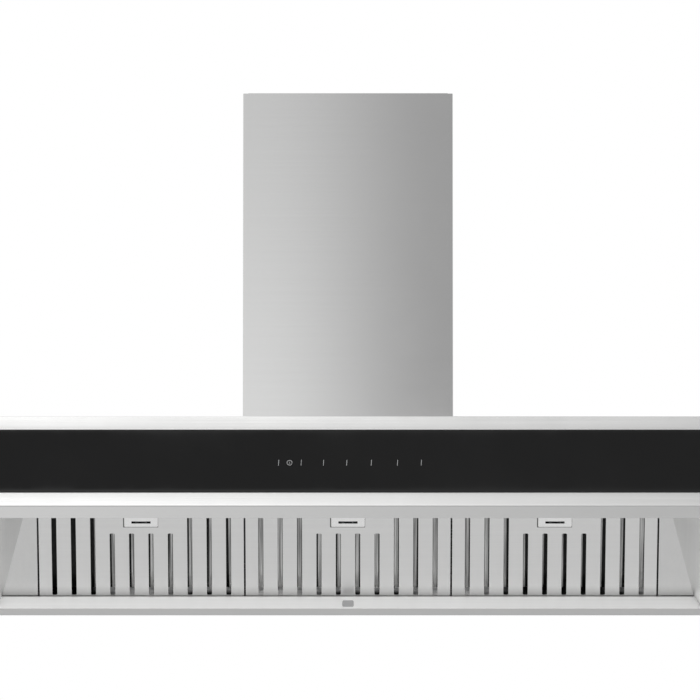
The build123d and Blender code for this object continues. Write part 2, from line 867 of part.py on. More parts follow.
with BuildPart() as ceiling_bracket:
    rim_x = upper_x - sheet
    rim_y = upper_y - sheet
    block((-rim_x, rim_x), (-rim_y, rim_y), (-bracket_rim, 0))
    fillet(ceiling_bracket.edges().filter_by(Axis.Z), radius=fold_radius)
    block(
        (-rim_x + bracket_plate, rim_x - bracket_plate),
        (-rim_y + bracket_plate, rim_y - bracket_plate),
        (-bracket_rim, -bracket_plate),
        mode=Mode.SUBTRACT,
    )
    with BuildSketch(Plane.XY):
        Circle(collar_radius + duct_hole_margin)
        with GridLocations(bracket_hole_spacing, bracket_hole_spacing, 2, 2):
            Circle(bracket_hole_radius)
    extrude(amount=-bracket_plate, mode=Mode.SUBTRACT)
    with BuildSketch(Plane.XY.offset(-bracket_plate)):
        for corner, x_sign, y_sign in corner_signs:
            angle_section(x_sign, y_sign, leg_outer_x, leg_outer_y)
    extrude(amount=leg_foot + bracket_plate)
    with BuildSketch(Plane.YZ):
        with Locations(*[(y_sign * bolt_y, (slot_high + slot_low) / 2) for y_sign in (-1, 1)]):
            SlotOverall(slot_high - slot_low, 2 * (bolt_radius + slide_clearance), rotation=90)
    extrude(amount=leg_outer_x, both=True, mode=Mode.SUBTRACT)
ceiling_bracket.part.label = "ceiling_bracket"
export_step(ceiling_bracket.part, "parts/ceiling_bracket.step")

for corner, x_sign, y_sign in corner_signs:
    with BuildPart() as lower_upright:
        with BuildSketch(Plane.XY.offset(canopy_top)):
            angle_section(x_sign, y_sign, upright_outer_x, upright_outer_y)
        extrude(amount=upright_top - canopy_top)
        with BuildSketch(Plane.YZ):
            with Locations(*[(y_sign * bolt_y, level) for level in bolt_levels]):
                Circle(bolt_radius + bolt_slack)
        extrude(amount=x_sign * upright_outer_x, mode=Mode.SUBTRACT)
    write(lower_upright.part, f"lower_upright_{corner}")

# Bolts that clamp each upright to its leg, nut inside
bolt_places = [(y_sign * bolt_y, level) for y_sign in (-1, 1) for level in bolt_levels]
nut_face = leg_outer_x - upright_thickness - slide_clearance
with BuildPart() as frame_bolts:
    for side in (-1, 1):
        with BuildSketch(Plane.YZ.offset(side * upright_outer_x)):
            with Locations(*bolt_places):
                RegularPolygon(bolt_head_radius, 6)
        extrude(amount=side * bolt_head_height)
        with BuildSketch(Plane.YZ.offset(side * upright_outer_x)):
            with Locations(*bolt_places):
                Circle(bolt_radius)
        extrude(amount=side * (nut_face - upright_outer_x))
        with BuildSketch(Plane.YZ.offset(side * nut_face)):
            with Locations(*bolt_places):
                RegularPolygon(bolt_head_radius, 6)
        extrude(amount=-side * bolt_head_height)
frame_bolts.part.label = "frame_bolts"
export_step(frame_bolts.part, "parts/frame_bolts.step")

# Screws
write(screw_set(side_screws + rim_screws, rear), "panel_screws")
write(screw_set(chimney_screws, lower_y), "chimney_screws")

# Blower scroll: three growing quarter arcs and an outlet upwards, parted on the centre plane
near = scroll_growth / 2
outlet_inner = scroll_y - near
outlet_outer = scroll_y + near + scroll_radius + 2 * scroll_growth


def scroll_outline():
    """Side outline of the scroll in the open sketch."""
    second = scroll_radius + scroll_growth
    third = scroll_radius + 2 * scroll_growth
    with BuildLine() as outline:
        Line((outlet_inner, outlet_top), (outlet_inner, scroll_z - near + scroll_radius))
        CenterArc((scroll_y - near, scroll_z - near), scroll_radius, 90, 90)
        CenterArc((scroll_y + near, scroll_z - near), second, 180, 90)
        CenterArc((scroll_y + near, scroll_z + near), third, 270, 90)
        Line((outlet_outer, scroll_z + near), (outlet_outer, outlet_top))
        Line((outlet_outer, outlet_top), (outlet_inner, outlet_top))
    make_face(outline.edges())


with BuildPart() as scroll_shell:
    with BuildSketch(Plane.YZ):
        scroll_outline()
    extrude(amount=scroll_half_width, both=True)
    with BuildSketch(Plane.YZ):
        scroll_outline()
        offset(amount=-scroll_wall)
    extrude(amount=scroll_half_width - scroll_wall, both=True, mode=Mode.SUBTRACT)
    block(
        (-scroll_half_width + scroll_wall, scroll_half_width - scroll_wall),
        (outlet_inner + scroll_wall, outlet_outer - scroll_wall),
        (outlet_top - 2 * scroll_wall, outlet_top),
        mode=Mode.SUBTRACT,
    )
    with BuildSketch(Plane.YZ):
        with Locations((scroll_y, scroll_z)):
            Circle(inlet_radius)
    extrude(amount=scroll_half_width, both=True, mode=Mode.SUBTRACT)

with BuildPart() as scroll_left:
    add(scroll_shell.part)
    split(bisect_by=Plane.YZ, keep=Keep.BOTTOM)
scroll_left.part.label = "scroll_left"
export_step(scroll_left.part, "parts/scroll_left.step")

with BuildPart() as scroll_right:
    add(scroll_shell.part)
    split(bisect_by=Plane.YZ, keep=Keep.TOP)
scroll_right.part.label = "scroll_right"
export_step(scroll_right.part, "parts/scroll_right.step")


def axis_plane(x):
    """Plane square to the blower's axis."""
    return Plane(origin=(x, scroll_y, scroll_z), x_dir=(0, 1, 0), z_dir=(1, 0, 0))


# Feet that carry the scroll across the opening in the top panel
with BuildPart() as blower_brackets:
    for side in (-1, 1):
        for along in (-1, 1):
            foot_y = scroll_y + along * blower_foot_spacing / 2
            width = (foot_y - blower_foot_width / 2, foot_y + blower_foot_width / 2)
            leg = sorted((side * scroll_half_width, side * (scroll_half_width + bracket_sheet)))
            foot = sorted((side * scroll_half_width, side * (blower_opening / 2 + blower_foot_landing)))
            block(leg, width, (canopy_top, canopy_top + blower_foot_height))
            block(foot, width, (canopy_top, canopy_top + bracket_sheet))
blower_brackets.part.label = "blower_brackets"
export_step(blower_brackets.part, "parts/blower_brackets.step")

# Motor inside the impeller's left eye, with a bore for the shaft
motor_left = motor_boss_length - scroll_half_width
with BuildPart() as motor:
    with BuildSketch(axis_plane(motor_left)):
        Circle(motor_radius)
    extrude(amount=motor_end - motor_left)
    fillet(motor.edges().filter_by(GeomType.CIRCLE), radius=motor_boss_radius / 4)
    with BuildSketch(axis_plane(motor_end)):
        Circle(shaft_radius + shaft_clearance)
    extrude(amount=-motor_bore_depth, mode=Mode.SUBTRACT)
motor.part.label = "motor"
export_step(motor.part, "parts/motor.step")

# Three-armed bracket from the left inlet to the motor's back
with BuildPart() as motor_bracket:
    with BuildSketch(axis_plane(-scroll_half_width)):
        Circle(inlet_radius + inlet_ring)
        Circle(inlet_radius, mode=Mode.SUBTRACT)
        Circle(motor_boss_radius)
        for arm in range(bracket_arms):
            turn = 90 + arm * 360 / bracket_arms
            reach = (motor_boss_radius + inlet_radius) / 2
            spot = (reach * cos(radians(turn)), reach * sin(radians(turn)))
            with Locations(spot):
                Rectangle(inlet_radius - motor_boss_radius + inlet_ring, bracket_arm, rotation=turn)
    extrude(amount=-bracket_sheet)
    with BuildSketch(axis_plane(-scroll_half_width)):
        Circle(motor_boss_radius)
    extrude(amount=motor_boss_length)
motor_bracket.part.label = "motor_bracket"
export_step(motor_bracket.part, "parts/motor_bracket.step")

# Squirrel-cage impeller on a disc and hub, and the shaft that drives it
disc_x = motor_end + shaft_overhang
with BuildPart() as impeller:
    with BuildSketch(axis_plane(disc_x)):
        Circle(impeller_radius)
    extrude(amount=impeller_disc)
    with BuildSketch(axis_plane(disc_x)):
        Circle(hub_radius)
    extrude(amount=hub_length)
    with BuildSketch(axis_plane(-impeller_half_width)):
        blade_middle = (impeller_radius + impeller_eye_radius) / 2
        blade_chord = impeller_radius - impeller_eye_radius - blade_thickness
        with PolarLocations(blade_middle, blade_count):
            Rectangle(blade_chord, blade_thickness, rotation=blade_angle)
    extrude(amount=2 * impeller_half_width)
    for ring_x in (-impeller_half_width, impeller_half_width - impeller_ring):
        with BuildSketch(axis_plane(ring_x)):
            Circle(impeller_radius)
            Circle(impeller_eye_radius, mode=Mode.SUBTRACT)
        extrude(amount=impeller_ring)
    with BuildSketch(axis_plane(disc_x)):
        Circle(shaft_radius)
    extrude(amount=hub_length, mode=Mode.SUBTRACT)
impeller.part.label = "impeller"
export_step(impeller.part, "parts/impeller.step")

with BuildPart() as motor_shaft:
    with BuildSketch(axis_plane(motor_end - motor_bore_depth + shaft_overhang)):
        Circle(shaft_radius)
    extrude(amount=motor_bore_depth + hub_length + shaft_overhang)
motor_shaft.part.label = "motor_shaft"
export_step(motor_shaft.part, "parts/motor_shaft.step")

# Outlet collar: flared box on the scroll, then a round neck with a ledge for the damper
collar_inner = collar_radius - collar_wall
collar_base = 2 * (collar_radius + collar_shoulder)
ledge_top = damper_z - damper_sheet / 2 - damper_gap
pin_places = [(side * damper_pin_offset, damper_z) for side in (-1, 1)]
with BuildPart() as outlet_collar:
    with BuildSketch(Plane.XY.offset(outlet_top)):
        Rectangle(2 * scroll_half_width, outlet_width)
    with BuildSketch(Plane.XY.offset(collar_foot)):
        Rectangle(collar_base, collar_base)
    loft()
    with BuildSketch(Plane.XY.offset(collar_foot)):
        Circle(collar_radius)
    extrude(amount=collar_height)
    with BuildSketch(Plane.XY.offset(outlet_top)):
        Rectangle(2 * (scroll_half_width - collar_wall), outlet_width - 2 * collar_wall)
    with BuildSketch(Plane.XY.offset(collar_foot - collar_wall)):
        Rectangle(collar_base - 2 * collar_wall, collar_base - 2 * collar_wall)
    loft(mode=Mode.SUBTRACT)
    with BuildSketch(Plane.XY.offset(collar_foot - 2 * collar_wall)):
        Circle(collar_inner)
    extrude(amount=collar_height + 2 * collar_wall, mode=Mode.SUBTRACT)
    with BuildSketch(Plane.XY.offset(ledge_top)):
        Circle(collar_radius)
        Circle(collar_inner - damper_ledge, mode=Mode.SUBTRACT)
        Rectangle(6 * damper_pin_offset, 2 * collar_inner, mode=Mode.SUBTRACT)
    extrude(amount=-damper_ledge_height)
    with BuildSketch(Plane.XZ):
        with Locations(*pin_places):
            Circle(damper_pin_radius + damper_pin_clearance)
    extrude(amount=collar_radius, both=True, mode=Mode.SUBTRACT)
outlet_collar.part.label = "outlet_collar"
export_step(outlet_collar.part, "parts/outlet_collar.step")

# Two half-round damper flaps, each on its own pin
flap_radius = collar_inner - damper_gap
pin_half = collar_radius - collar_wall / 2
for side_name, side in (("left", -1), ("right", 1)):
    with BuildPart() as damper_flap:
        with BuildSketch(Plane.XY.offset(damper_z)):
            Circle(flap_radius)
            far = sorted((side * damper_pin_offset, -side * flap_radius))
            panel(far, (-flap_radius, flap_radius), Mode.SUBTRACT)
        extrude(amount=damper_sheet / 2, both=True)
        with BuildSketch(Plane.XZ):
            with Locations((side * damper_pin_offset, damper_z)):
                Circle(damper_pin_radius)
        extrude(amount=pin_half, both=True)
    write(damper_flap.part, f"damper_flap_{side_name}")

# Control box under the top panel, with its lid, board and motor capacitor
box_x = (box_centre_x - box_length / 2, box_centre_x + box_length / 2)
box_y = (box_centre_y - box_depth / 2, box_centre_y + box_depth / 2)
box_low = under_top - box_height
board_top = under_top - box_wall - box_peg_height
board_low = board_top - board_thickness
board_x = (box_x[0] + box_board_margin, box_x[1] - box_board_margin)
board_y = (box_y[0] + box_board_margin, box_y[1] - box_board_margin)
peg_span_x = box_length - 4 * box_board_margin
peg_span_y = box_depth - 4 * box_board_margin
with BuildPart() as control_box:
    block(box_x, box_y, (box_low, under_top))
    block(
        (box_x[0] + box_wall, box_x[1] - box_wall),
        (box_y[0] + box_wall, box_y[1] - box_wall),
        (box_low, under_top - box_wall),
        mode=Mode.SUBTRACT,
    )
    with BuildSketch(Plane.XY.offset(under_top - box_wall)):
        with Locations((box_centre_x, box_centre_y)):
            with GridLocations(peg_span_x, peg_span_y, 2, 2):
                Circle(box_peg_radius)
    extrude(amount=-box_peg_height)
control_box.part.label = "control_box"
export_step(control_box.part, "parts/control_box.step")

with BuildPart() as control_box_lid:
    block(box_x, box_y, (box_low - box_wall, box_low))
control_box_lid.part.label = "control_box_lid"
export_step(control_box_lid.part, "parts/control_box_lid.step")

with BuildPart() as power_board:
    block(board_x, board_y, (board_low, board_top))
    transformer_x = board_x[0] + box_board_margin
    block(
        (transformer_x, transformer_x + transformer_length),
        (box_centre_y - transformer_width / 2, box_centre_y + transformer_width / 2),
        (board_low - transformer_height, board_low),
    )
    relay_x = transformer_x + transformer_length + box_board_margin
    for relay in range(relay_count):
        relay_y = board_y[0] + box_board_margin + relay * (relay_width + relay_gap)
        block(
            (relay_x, relay_x + relay_length),
            (relay_y, relay_y + relay_width),
            (board_low - relay_height, board_low),
        )
power_board.part.label = "power_board"
export_step(power_board.part, "parts/power_board.step")

with BuildPart() as capacitor:
    spot = (board_x[1] - capacitor_length - box_board_margin, box_centre_y, board_low - capacitor_radius)
    with BuildSketch(Plane(origin=spot, x_dir=(0, 1, 0), z_dir=(1, 0, 0))):
        Circle(capacitor_radius)
    extrude(amount=capacitor_length)
    chamfer(capacitor.edges().filter_by(GeomType.CIRCLE), length=1)
capacitor.part.label = "capacitor"
export_step(capacitor.part, "parts/capacitor.step")

# Gland for the supply cable, through the top panel inside the chimney
with BuildPart() as cable_gland:
    with BuildSketch(Plane((gland_x, gland_y, canopy_top))):
        RegularPolygon(gland_flange_radius, 6)
    extrude(amount=gland_height)
    with BuildSketch(Plane((gland_x, gland_y, canopy_top))):
        Circle(gland_radius)
    extrude(amount=-gland_height)
    with BuildSketch(Plane((gland_x, gland_y, canopy_top - gland_height))):
        Circle(gland_bore)
    extrude(amount=2 * gland_height, mode=Mode.SUBTRACT)
cable_gland.part.label = "cable_gland"
export_step(cable_gland.part, "parts/cable_gland.step")
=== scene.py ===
"""Looks of a ceiling-hung island range hood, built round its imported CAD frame."""

import json
import logging
import math
from collections.abc import Callable
from dataclasses import dataclass
from enum import Enum

import bpy
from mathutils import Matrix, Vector


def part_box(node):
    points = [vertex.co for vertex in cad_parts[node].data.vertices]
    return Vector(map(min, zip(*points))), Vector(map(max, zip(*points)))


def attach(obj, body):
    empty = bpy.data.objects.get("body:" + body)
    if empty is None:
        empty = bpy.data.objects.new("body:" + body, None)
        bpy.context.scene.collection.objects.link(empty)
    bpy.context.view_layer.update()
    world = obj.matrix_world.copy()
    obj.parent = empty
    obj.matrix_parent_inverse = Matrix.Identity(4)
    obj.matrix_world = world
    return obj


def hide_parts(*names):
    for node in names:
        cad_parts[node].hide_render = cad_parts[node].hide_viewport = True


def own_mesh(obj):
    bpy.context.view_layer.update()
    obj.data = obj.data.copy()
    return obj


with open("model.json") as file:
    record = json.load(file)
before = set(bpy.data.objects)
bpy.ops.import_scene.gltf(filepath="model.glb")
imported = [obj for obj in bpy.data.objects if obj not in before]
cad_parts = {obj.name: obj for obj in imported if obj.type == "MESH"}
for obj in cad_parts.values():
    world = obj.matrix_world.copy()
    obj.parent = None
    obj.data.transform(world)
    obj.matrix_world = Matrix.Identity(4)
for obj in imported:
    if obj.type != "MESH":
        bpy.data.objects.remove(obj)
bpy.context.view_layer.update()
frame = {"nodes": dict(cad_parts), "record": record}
LOG = logging.getLogger("island_hood")

Colour = tuple[float, float, float]
Point = tuple[float, float, float]
Range = tuple[float, float]
Stops = tuple[Range, ...]
Socket = bpy.types.NodeSocket
Level = Socket | float
Piece = bpy.types.Object

WHITE: Colour = (1.0, 1.0, 1.0)
UNIT: Range = (0.0, 1.0)
FALLING: Range = (1.0, 0.0)
ACROSS, BACK = Vector((1, 0, 0)), Vector((0, 1, 0))
UP, DOWN = Vector((0, 0, 1)), Vector((0, 0, -1))
QUARTER_TURN = math.pi / 2
LOOKS_DOWN = -0.5


class Brush(Enum):
    """Direction of a brushed grain, as the noise scale along X, Y and Z."""

    LEVEL = (2.2, 2.2, 620.0)
    ALONG_X = (2.2, 620.0, 620.0)
    ALONG_Y = (620.0, 2.2, 620.0)


class Body(Enum):
    """CAD bodies that carry the pieces made here."""

    CANOPY = "canopy"
    FILTER_LEFT = "filter_left"
    FILTER_CENTER = "filter_center"
    FILTER_RIGHT = "filter_right"


class Ease(Enum):
    """How a mapped value goes from one end of its range to the other."""

    STRAIGHT = "LINEAR"
    SMOOTH = "SMOOTHSTEP"


class Mixed(Enum):
    """What a Mix node mixes, with the indices of its two inputs and its result."""

    FLOAT = (2, 3, 0)
    RGBA = (6, 7, 2)


class Tilt(Enum):
    """Heights of a face's normal where a mask starts and where it is full."""

    DOWN = (-0.7, -0.9)
    BEND_START = (-0.30, -0.55)
    BEND_END = (-0.99, -0.95)
    UP = (0.3, 0.6)


class Element(Enum):
    """Elements of a mesh that can be selected, with the name of their list."""

    EDGE = "edges"
    FACE = "polygons"


def rgba(colour: Colour) -> tuple[float, float, float, float]:
    """Return the colour with full alpha."""
    return (*colour, 1.0)


def shade(colour: Colour, factor: float) -> Colour:
    """Return the colour made darker or lighter by a factor."""
    return tuple(min(1.0, channel * factor) for channel in colour)


def about(level: float, swing: float) -> Range:
    """Return the range that swings to both sides of a level."""
    return level - swing, level + swing


def underside(node: str) -> tuple[Vector, Vector]:
    """Find the plane of a CAD node's lower side.

    Args:
        node: The CAD node.

    Returns:
        The way that its lower faces look, and the middle of them.
    """
    faces = [face for face in frame["nodes"][node].data.polygons if face.normal.z < LOOKS_DOWN]
    look = sum((face.normal * face.area for face in faces), Vector())
    middle = sum((face.center * face.area for face in faces), Vector())
    return look.normalized(), middle / sum(face.area for face in faces)


def span(node: str, direction: Vector) -> Range:
    """Return how far a CAD node reaches along a direction, lowest and highest."""
    places = [vertex.co.dot(direction) for vertex in frame["nodes"][node].data.vertices]
    return min(places), max(places)


# Node trees


class NodeTree:
    """Short calls to add, set and join the nodes of one tree."""

    def __init__(self, tree: bpy.types.NodeTree) -> None:
        """Keep the tree and drop the nodes it starts with."""
        self.tree = tree
        self.tree.nodes.clear()

    def add(self, kind: str, **settings: object) -> bpy.types.Node:
        """Add a node.

        Args:
            kind: The node's type without its ShaderNode prefix.
            settings: Properties of the node, by name.

        Returns:
            The new node.
        """
        node = self.tree.nodes.new(kind if kind.startswith("Node") else "ShaderNode" + kind)
        for name, value in settings.items():
            setattr(node, name, value)
        return node

    def set(self, node: bpy.types.Node, **values: object) -> bpy.types.Node:
        """Set a node's input sockets.

        Args:
            node: The node.
            values: Socket values by socket name, with underscores for spaces.

        Returns:
            The same node.
        """
        for name, value in values.items():
            node.inputs[name.replace("_", " ")].default_value = value
        return node

    def join(self, source: Socket, target: Socket) -> None:
        """Link an output to an input."""
        self.tree.links.new(source, target)

    def give(self, value: object, target: Socket) -> None:
        """Link an output to an input, or set the input to a plain value.

        Args:
            value: The output, or the plain value.
            target: The input.
        """
        if isinstance(value, Socket):
            self.join(value, target)
        else:
            target.default_value = value

    def noise(self, vector: Socket, scale: float, detail: float, rough: float) -> Socket:
        """Add a noise texture.

        Args:
            vector: Coordinates that it reads.
            scale: Its scale.
            detail: Its octaves.
            rough: Its roughness.

        Returns:
            Its value, from 0 to 1.
        """
        texture = self.set(self.add("TexNoise"), Scale=scale, Detail=detail, Roughness=rough)
        self.join(vector, texture.inputs["Vector"])
        return texture.outputs[0]

    def axes(self, vector: Socket) -> bpy.types.NodeOutputs:
        """Split a vector.

        Args:
            vector: The vector.

        Returns:
            Its X, Y and Z.
        """
        split = self.add("SeparateXYZ")
        self.join(vector, split.inputs["Vector"])
        return split.outputs

    def spread(
        self, value: Socket, old: Range, new: Range = UNIT, ease: Ease = Ease.STRAIGHT
    ) -> Socket:
        """Map a value from one range to another, clamped.

        Args:
            value: The value.
            old: Range it comes in.
            new: Range it leaves in.
            ease: How it goes from one end to the other.

        Returns:
            The mapped value.
        """
        node = self.add("MapRange", interpolation_type=ease.value)
        self.set(node, From_Min=old[0], From_Max=old[1], To_Min=new[0], To_Max=new[1])
        self.join(value, node.inputs["Value"])
        return node.outputs["Result"]

    def steps(self, value: Socket, stops: Stops) -> Socket:
        """Map a value through a row of stops.

        Args:
            value: The value.
            stops: Places and levels from 0 to 1, in rising order of place.

        Returns:
            The level at the value.
        """
        first, last = stops[0][0], stops[-1][0]
        ramp = self.add("ValToRGB")
        marks = ramp.color_ramp.elements
        for place, _ in stops[1:-1]:
            marks.new((place - first) / (last - first))
        for mark, (_, level) in zip(marks, stops):
            mark.color = rgba((level, level, level))
        self.join(self.spread(value, (first, last)), ramp.inputs["Fac"])
        return ramp.outputs["Color"]

    def combine(self, operation: str, first: Socket, second: Level = 0.0) -> Socket:
        """Join two values with a maths node.

        Args:
            operation: Name of the operation.
            first: First value.
            second: Second value, left out where the operation needs one only.

        Returns:
            The result.
        """
        node = self.add("Math", operation=operation)
        self.join(first, node.inputs[0])
        self.give(second, node.inputs[1])
        return node.outputs[0]

    def times(self, first: Socket, second: Level) -> Socket:
        """Return the product of two values."""
        return self.combine("MULTIPLY", first, second)

    def weigh(self, first: Socket, share: float, second: Socket) -> Socket:
        """Return the sum of a share of one value and the rest of another."""
        return self.combine("ADD", self.times(first, share), self.times(second, 1 - share))

    def mix(self, kind: Mixed, factor: Socket, low: object, high: object) -> Socket:
        """Mix two values or colours.

        Args:
            kind: What is mixed.
            factor: Mask from 0 to 1.
            low: What shows at 0, plain or a socket.
            high: What shows at 1, plain or a socket.

        Returns:
            The mixture.
        """
        node = self.add("Mix", data_type=kind.name)
        first, second, result = kind.value
        self.join(factor, node.inputs[0])
        self.give(low, node.inputs[first])
        self.give(high, node.inputs[second])
        return node.outputs[result]

    def blend(self, factor: Socket, low: Socket | Colour, high: Colour) -> Socket:
        """Return the mixture of a plain or varied colour and a plain one."""
        low = low if isinstance(low, Socket) else rgba(low)
        return self.mix(Mixed.RGBA, factor, low, rgba(high))

    def fade(self, factor: Socket, low: Level, high: Level) -> Socket:
        """Return the mixture of two values."""
        return self.mix(Mixed.FLOAT, factor, low, high)


class EffectGroup(NodeTree):
    """A shared effect: a node group that reads coordinates and puts out masks."""

    def __init__(self, name: str, outputs: tuple[str, ...]) -> None:
        """Make the group with a Vector input.

        Args:
            name: Its name.
            outputs: Names of the values that it puts out.
        """
        group = bpy.data.node_groups.new(name, "ShaderNodeTree")
        super().__init__(group)
        group.interface.new_socket("Vector", in_out="INPUT", socket_type="NodeSocketVector")
        for output in outputs:
            group.interface.new_socket(output, in_out="OUTPUT", socket_type="NodeSocketFloat")
        self.vector = self.add("NodeGroupInput").outputs["Vector"]
        self.result = self.add("NodeGroupOutput")

    def put(self, name: str, value: Socket) -> None:
        """Send a value to one of the group's outputs."""
        self.join(value, self.result.inputs[name])


class Effects:
    """The shared effects, each built once."""

    def __init__(self) -> None:
        """Build every effect."""
        self.brushed = self._brushed()
        self.handled = self._handled()
        self.moulded = self._moulded()
        self.spangled = self._spangled()

    @staticmethod
    def _brushed() -> bpy.types.NodeTree:
        """Make hair lines and broader bands along one direction.

        Returns:
            The group, with a tone and a height.
        """
        group = EffectGroup("brushed_grain", ("Tone", "Height"))
        hair = group.noise(group.vector, scale=1.0, detail=3.0, rough=0.7)
        band = group.noise(group.vector, scale=0.13, detail=2.0, rough=0.5)
        mixed = group.weigh(hair, share=0.6, second=band)
        group.put("Tone", group.spread(mixed, old=(0.36, 0.64)))
        group.put("Height", hair)
        return group.tree

    @staticmethod
    def _handled() -> bpy.types.NodeTree:
        """Make soft smudges where hands and cloths have been.

        Returns:
            The group, with a mask of the smudges.
        """
        group = EffectGroup("handled_film", ("Smudge",))
        cloud = group.noise(group.vector, scale=7.0, detail=3.0, rough=0.55)
        wipe = group.noise(group.vector, scale=31.0, detail=2.0, rough=0.6)
        mixed = group.weigh(cloud, share=0.75, second=wipe)
        group.put("Smudge", group.spread(mixed, old=(0.42, 0.66)))
        return group.tree

    @staticmethod
    def _moulded() -> bpy.types.NodeTree:
        """Make the fine pebble of a moulded or painted skin.

        Returns:
            The group, with a tone and a height.
        """
        group = EffectGroup("moulded_skin", ("Tone", "Height"))
        pebble = group.noise(group.vector, scale=1500.0, detail=2.0, rough=0.5)
        flow = group.noise(group.vector, scale=24.0, detail=2.0, rough=0.5)
        group.put("Height", pebble)
        group.put("Tone", group.spread(flow, old=(0.35, 0.65)))
        return group.tree

    @staticmethod
    def _spangled() -> bpy.types.NodeTree:
        """Make the crystal patches of a zinc coat.

        Returns:
            The group, with a tone and a height.
        """
        group = EffectGroup("zinc_spangle", ("Tone", "Height"))
        cells = group.set(group.add("TexVoronoi", feature="F1"), Scale=95.0, Randomness=1.0)
        group.join(group.vector, cells.inputs["Vector"])
        split = group.add("SeparateColor")
        group.join(cells.outputs["Color"], split.inputs["Color"])
        frost = group.noise(group.vector, scale=420.0, detail=2.0, rough=0.6)
        group.put("Tone", group.weigh(split.outputs[0], share=0.7, second=frost))
        group.put("Height", cells.outputs["Distance"])
        return group.tree


EFFECTS = Effects()


class Shader(NodeTree):
    """One material with a Principled surface on Object coordinates."""

    def __init__(self, name: str) -> None:
        """Make the material and its surface.

        Args:
            name: The material's name.
        """
        self.material = bpy.data.materials.new(name)
        self.material.use_nodes = True
        super().__init__(self.material.node_tree)
        self.surface = self.add("BsdfPrincipled")
        self.output = self.add("OutputMaterial")
        self.show(self.surface.outputs["BSDF"])
        self.place = self.add("TexCoord").outputs["Object"]

    def show(self, shader: Socket) -> None:
        """Make a shader the one that the material shows."""
        self.join(shader, self.output.inputs["Surface"])

    def feed(self, socket: str, value: Socket) -> None:
        """Send a value to one of the surface's sockets."""
        self.join(value, self.surface.inputs[socket])

    def mapped(self, scale: Point) -> Socket:
        """Stretch the coordinates.

        Args:
            scale: Scale along X, Y and Z.

        Returns:
            The stretched coordinates.
        """
        mapping = self.set(self.add("Mapping"), Scale=scale)
        self.join(self.place, mapping.inputs["Vector"])
        return mapping.outputs["Vector"]

    def effect(self, tree: bpy.types.NodeTree, vector: Socket) -> bpy.types.NodeOutputs:
        """Place a shared effect.

        Args:
            tree: The effect's node group.
            vector: Coordinates that it reads.

        Returns:
            The group's outputs.
        """
        group = self.add("Group", node_tree=tree)
        self.join(vector, group.inputs["Vector"])
        return group.outputs

    def smudge(self) -> Socket:
        """Mask the smear that hands and cloths leave."""
        return self.effect(EFFECTS.handled, self.place)["Smudge"]

    def worn(self, roughness: float, wear: float) -> Socket:
        """Return a roughness that the smear of handling raises by some wear."""
        return self.spread(self.smudge(), UNIT, (roughness, roughness + wear))

    def toned(self, mask: Socket, colour: Colour, levels: Range) -> Socket:
        """Return a colour that a mask takes from one share of it to another."""
        return self.blend(mask, *(shade(colour, level) for level in levels))

    def relief(self, height: Socket, depth: float, strength: float = 1.0) -> None:
        """Send a height to the surface's normal.

        Args:
            height: Height from 0 to 1.
            depth: Depth of the relief in metres.
            strength: Share of the relief that shows.
        """
        bump = self.set(self.add("Bump"), Strength=strength, Distance=depth)
        self.join(height, bump.inputs["Height"])
        self.feed("Normal", bump.outputs["Normal"])

    def behind(self, node: str, depth: Range) -> Socket:
        """Mask what lies behind the lower face of a CAD node.

        Args:
            node: The CAD node.
            depth: Depths behind the face where the mask starts and where it is full.

        Returns:
            The mask, from 0 to 1.
        """
        look, middle = underside(node)
        along = self.add("VectorMath", operation="DOT_PRODUCT")
        self.join(self.place, along.inputs[0])
        along.inputs[1].default_value = look
        level = look.dot(middle)
        return self.spread(along.outputs["Value"], (level - depth[0], level - depth[1]))

    def towards_rear(self, node: str, reach: Range, ease: Ease = Ease.STRAIGHT) -> Socket:
        """Mask what lies towards the rear end of a CAD node.

        Args:
            node: The CAD node.
            reach: Distances before the end where the mask starts and where it is full.
            ease: How the mask rises.

        Returns:
            The mask, from 0 to 1.
        """
        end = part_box(node)[1].y
        along = self.axes(self.place)["Y"]
        return self.spread(along, (end - reach[0], end - reach[1]), ease=ease)

    def painted_underside_shade(self) -> Socket:
        """Mask the faces that look down, where shade is painted."""
        normal = self.axes(self.add("NewGeometry").outputs["Normal"])
        return self.spread(normal["Z"], Tilt.DOWN.value)

    def bend_shade_mask(self) -> Socket:
        """Mask the rounded edges between an upright face and one that looks down, where shade is
        painted.

        Returns:
            The mask, from 0 to 1.
        """
        normal = self.axes(self.add("NewGeometry").outputs["Normal"])
        ends = (self.spread(normal["Z"], tilt.value) for tilt in (Tilt.BEND_START, Tilt.BEND_END))
        return self.times(*ends)

    def backs(self) -> Socket:
        """Mask the faces that look up into the hood when their part is closed."""
        normal = self.axes(self.add("TexCoord").outputs["Normal"])
        return self.spread(normal["Z"], Tilt.UP.value)

    def bay(self, across: Socket) -> Socket:
        """Fold the places along the hood onto one filter.

        Args:
            across: Place along the hood.

        Returns:
            The place as seen from the middle of the nearest filter.
        """
        left, middle = (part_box("filter_baffles_" + side) for side in ("left", "center"))
        bay_half = (middle[0].x - left[0].x) / 2
        local = self.add("Math", operation="WRAP")
        self.join(across, local.inputs[0])
        local.inputs[1].default_value, local.inputs[2].default_value = bay_half, -bay_half
        return local.outputs[0]

    def beside(self, node: str, width: Range, shift: Range = (0.0, 0.0)) -> Socket:
        """Mask what lies in or near a CAD node of the middle filter, or its likes in the other two.

        Args:
            node: The CAD node.
            width: Distances outside the node's edge where the mask is full and where it ends.
            shift: How far the mask is moved along X and Y.

        Returns:
            The mask, from 0 to 1.
        """
        low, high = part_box(node)
        middle, half = (low + high) / 2, (high - low) / 2
        place = self.axes(self.place)
        outside = []
        for axis, spot in enumerate((self.bay(place["X"]), place["Y"])):
            away = self.combine("SUBTRACT", spot, middle[axis] + shift[axis])
            outside.append(self.combine("SUBTRACT", self.combine("ABSOLUTE", away), half[axis]))
        return self.spread(self.combine("MAXIMUM", *outside), width, FALLING)


# Finishes


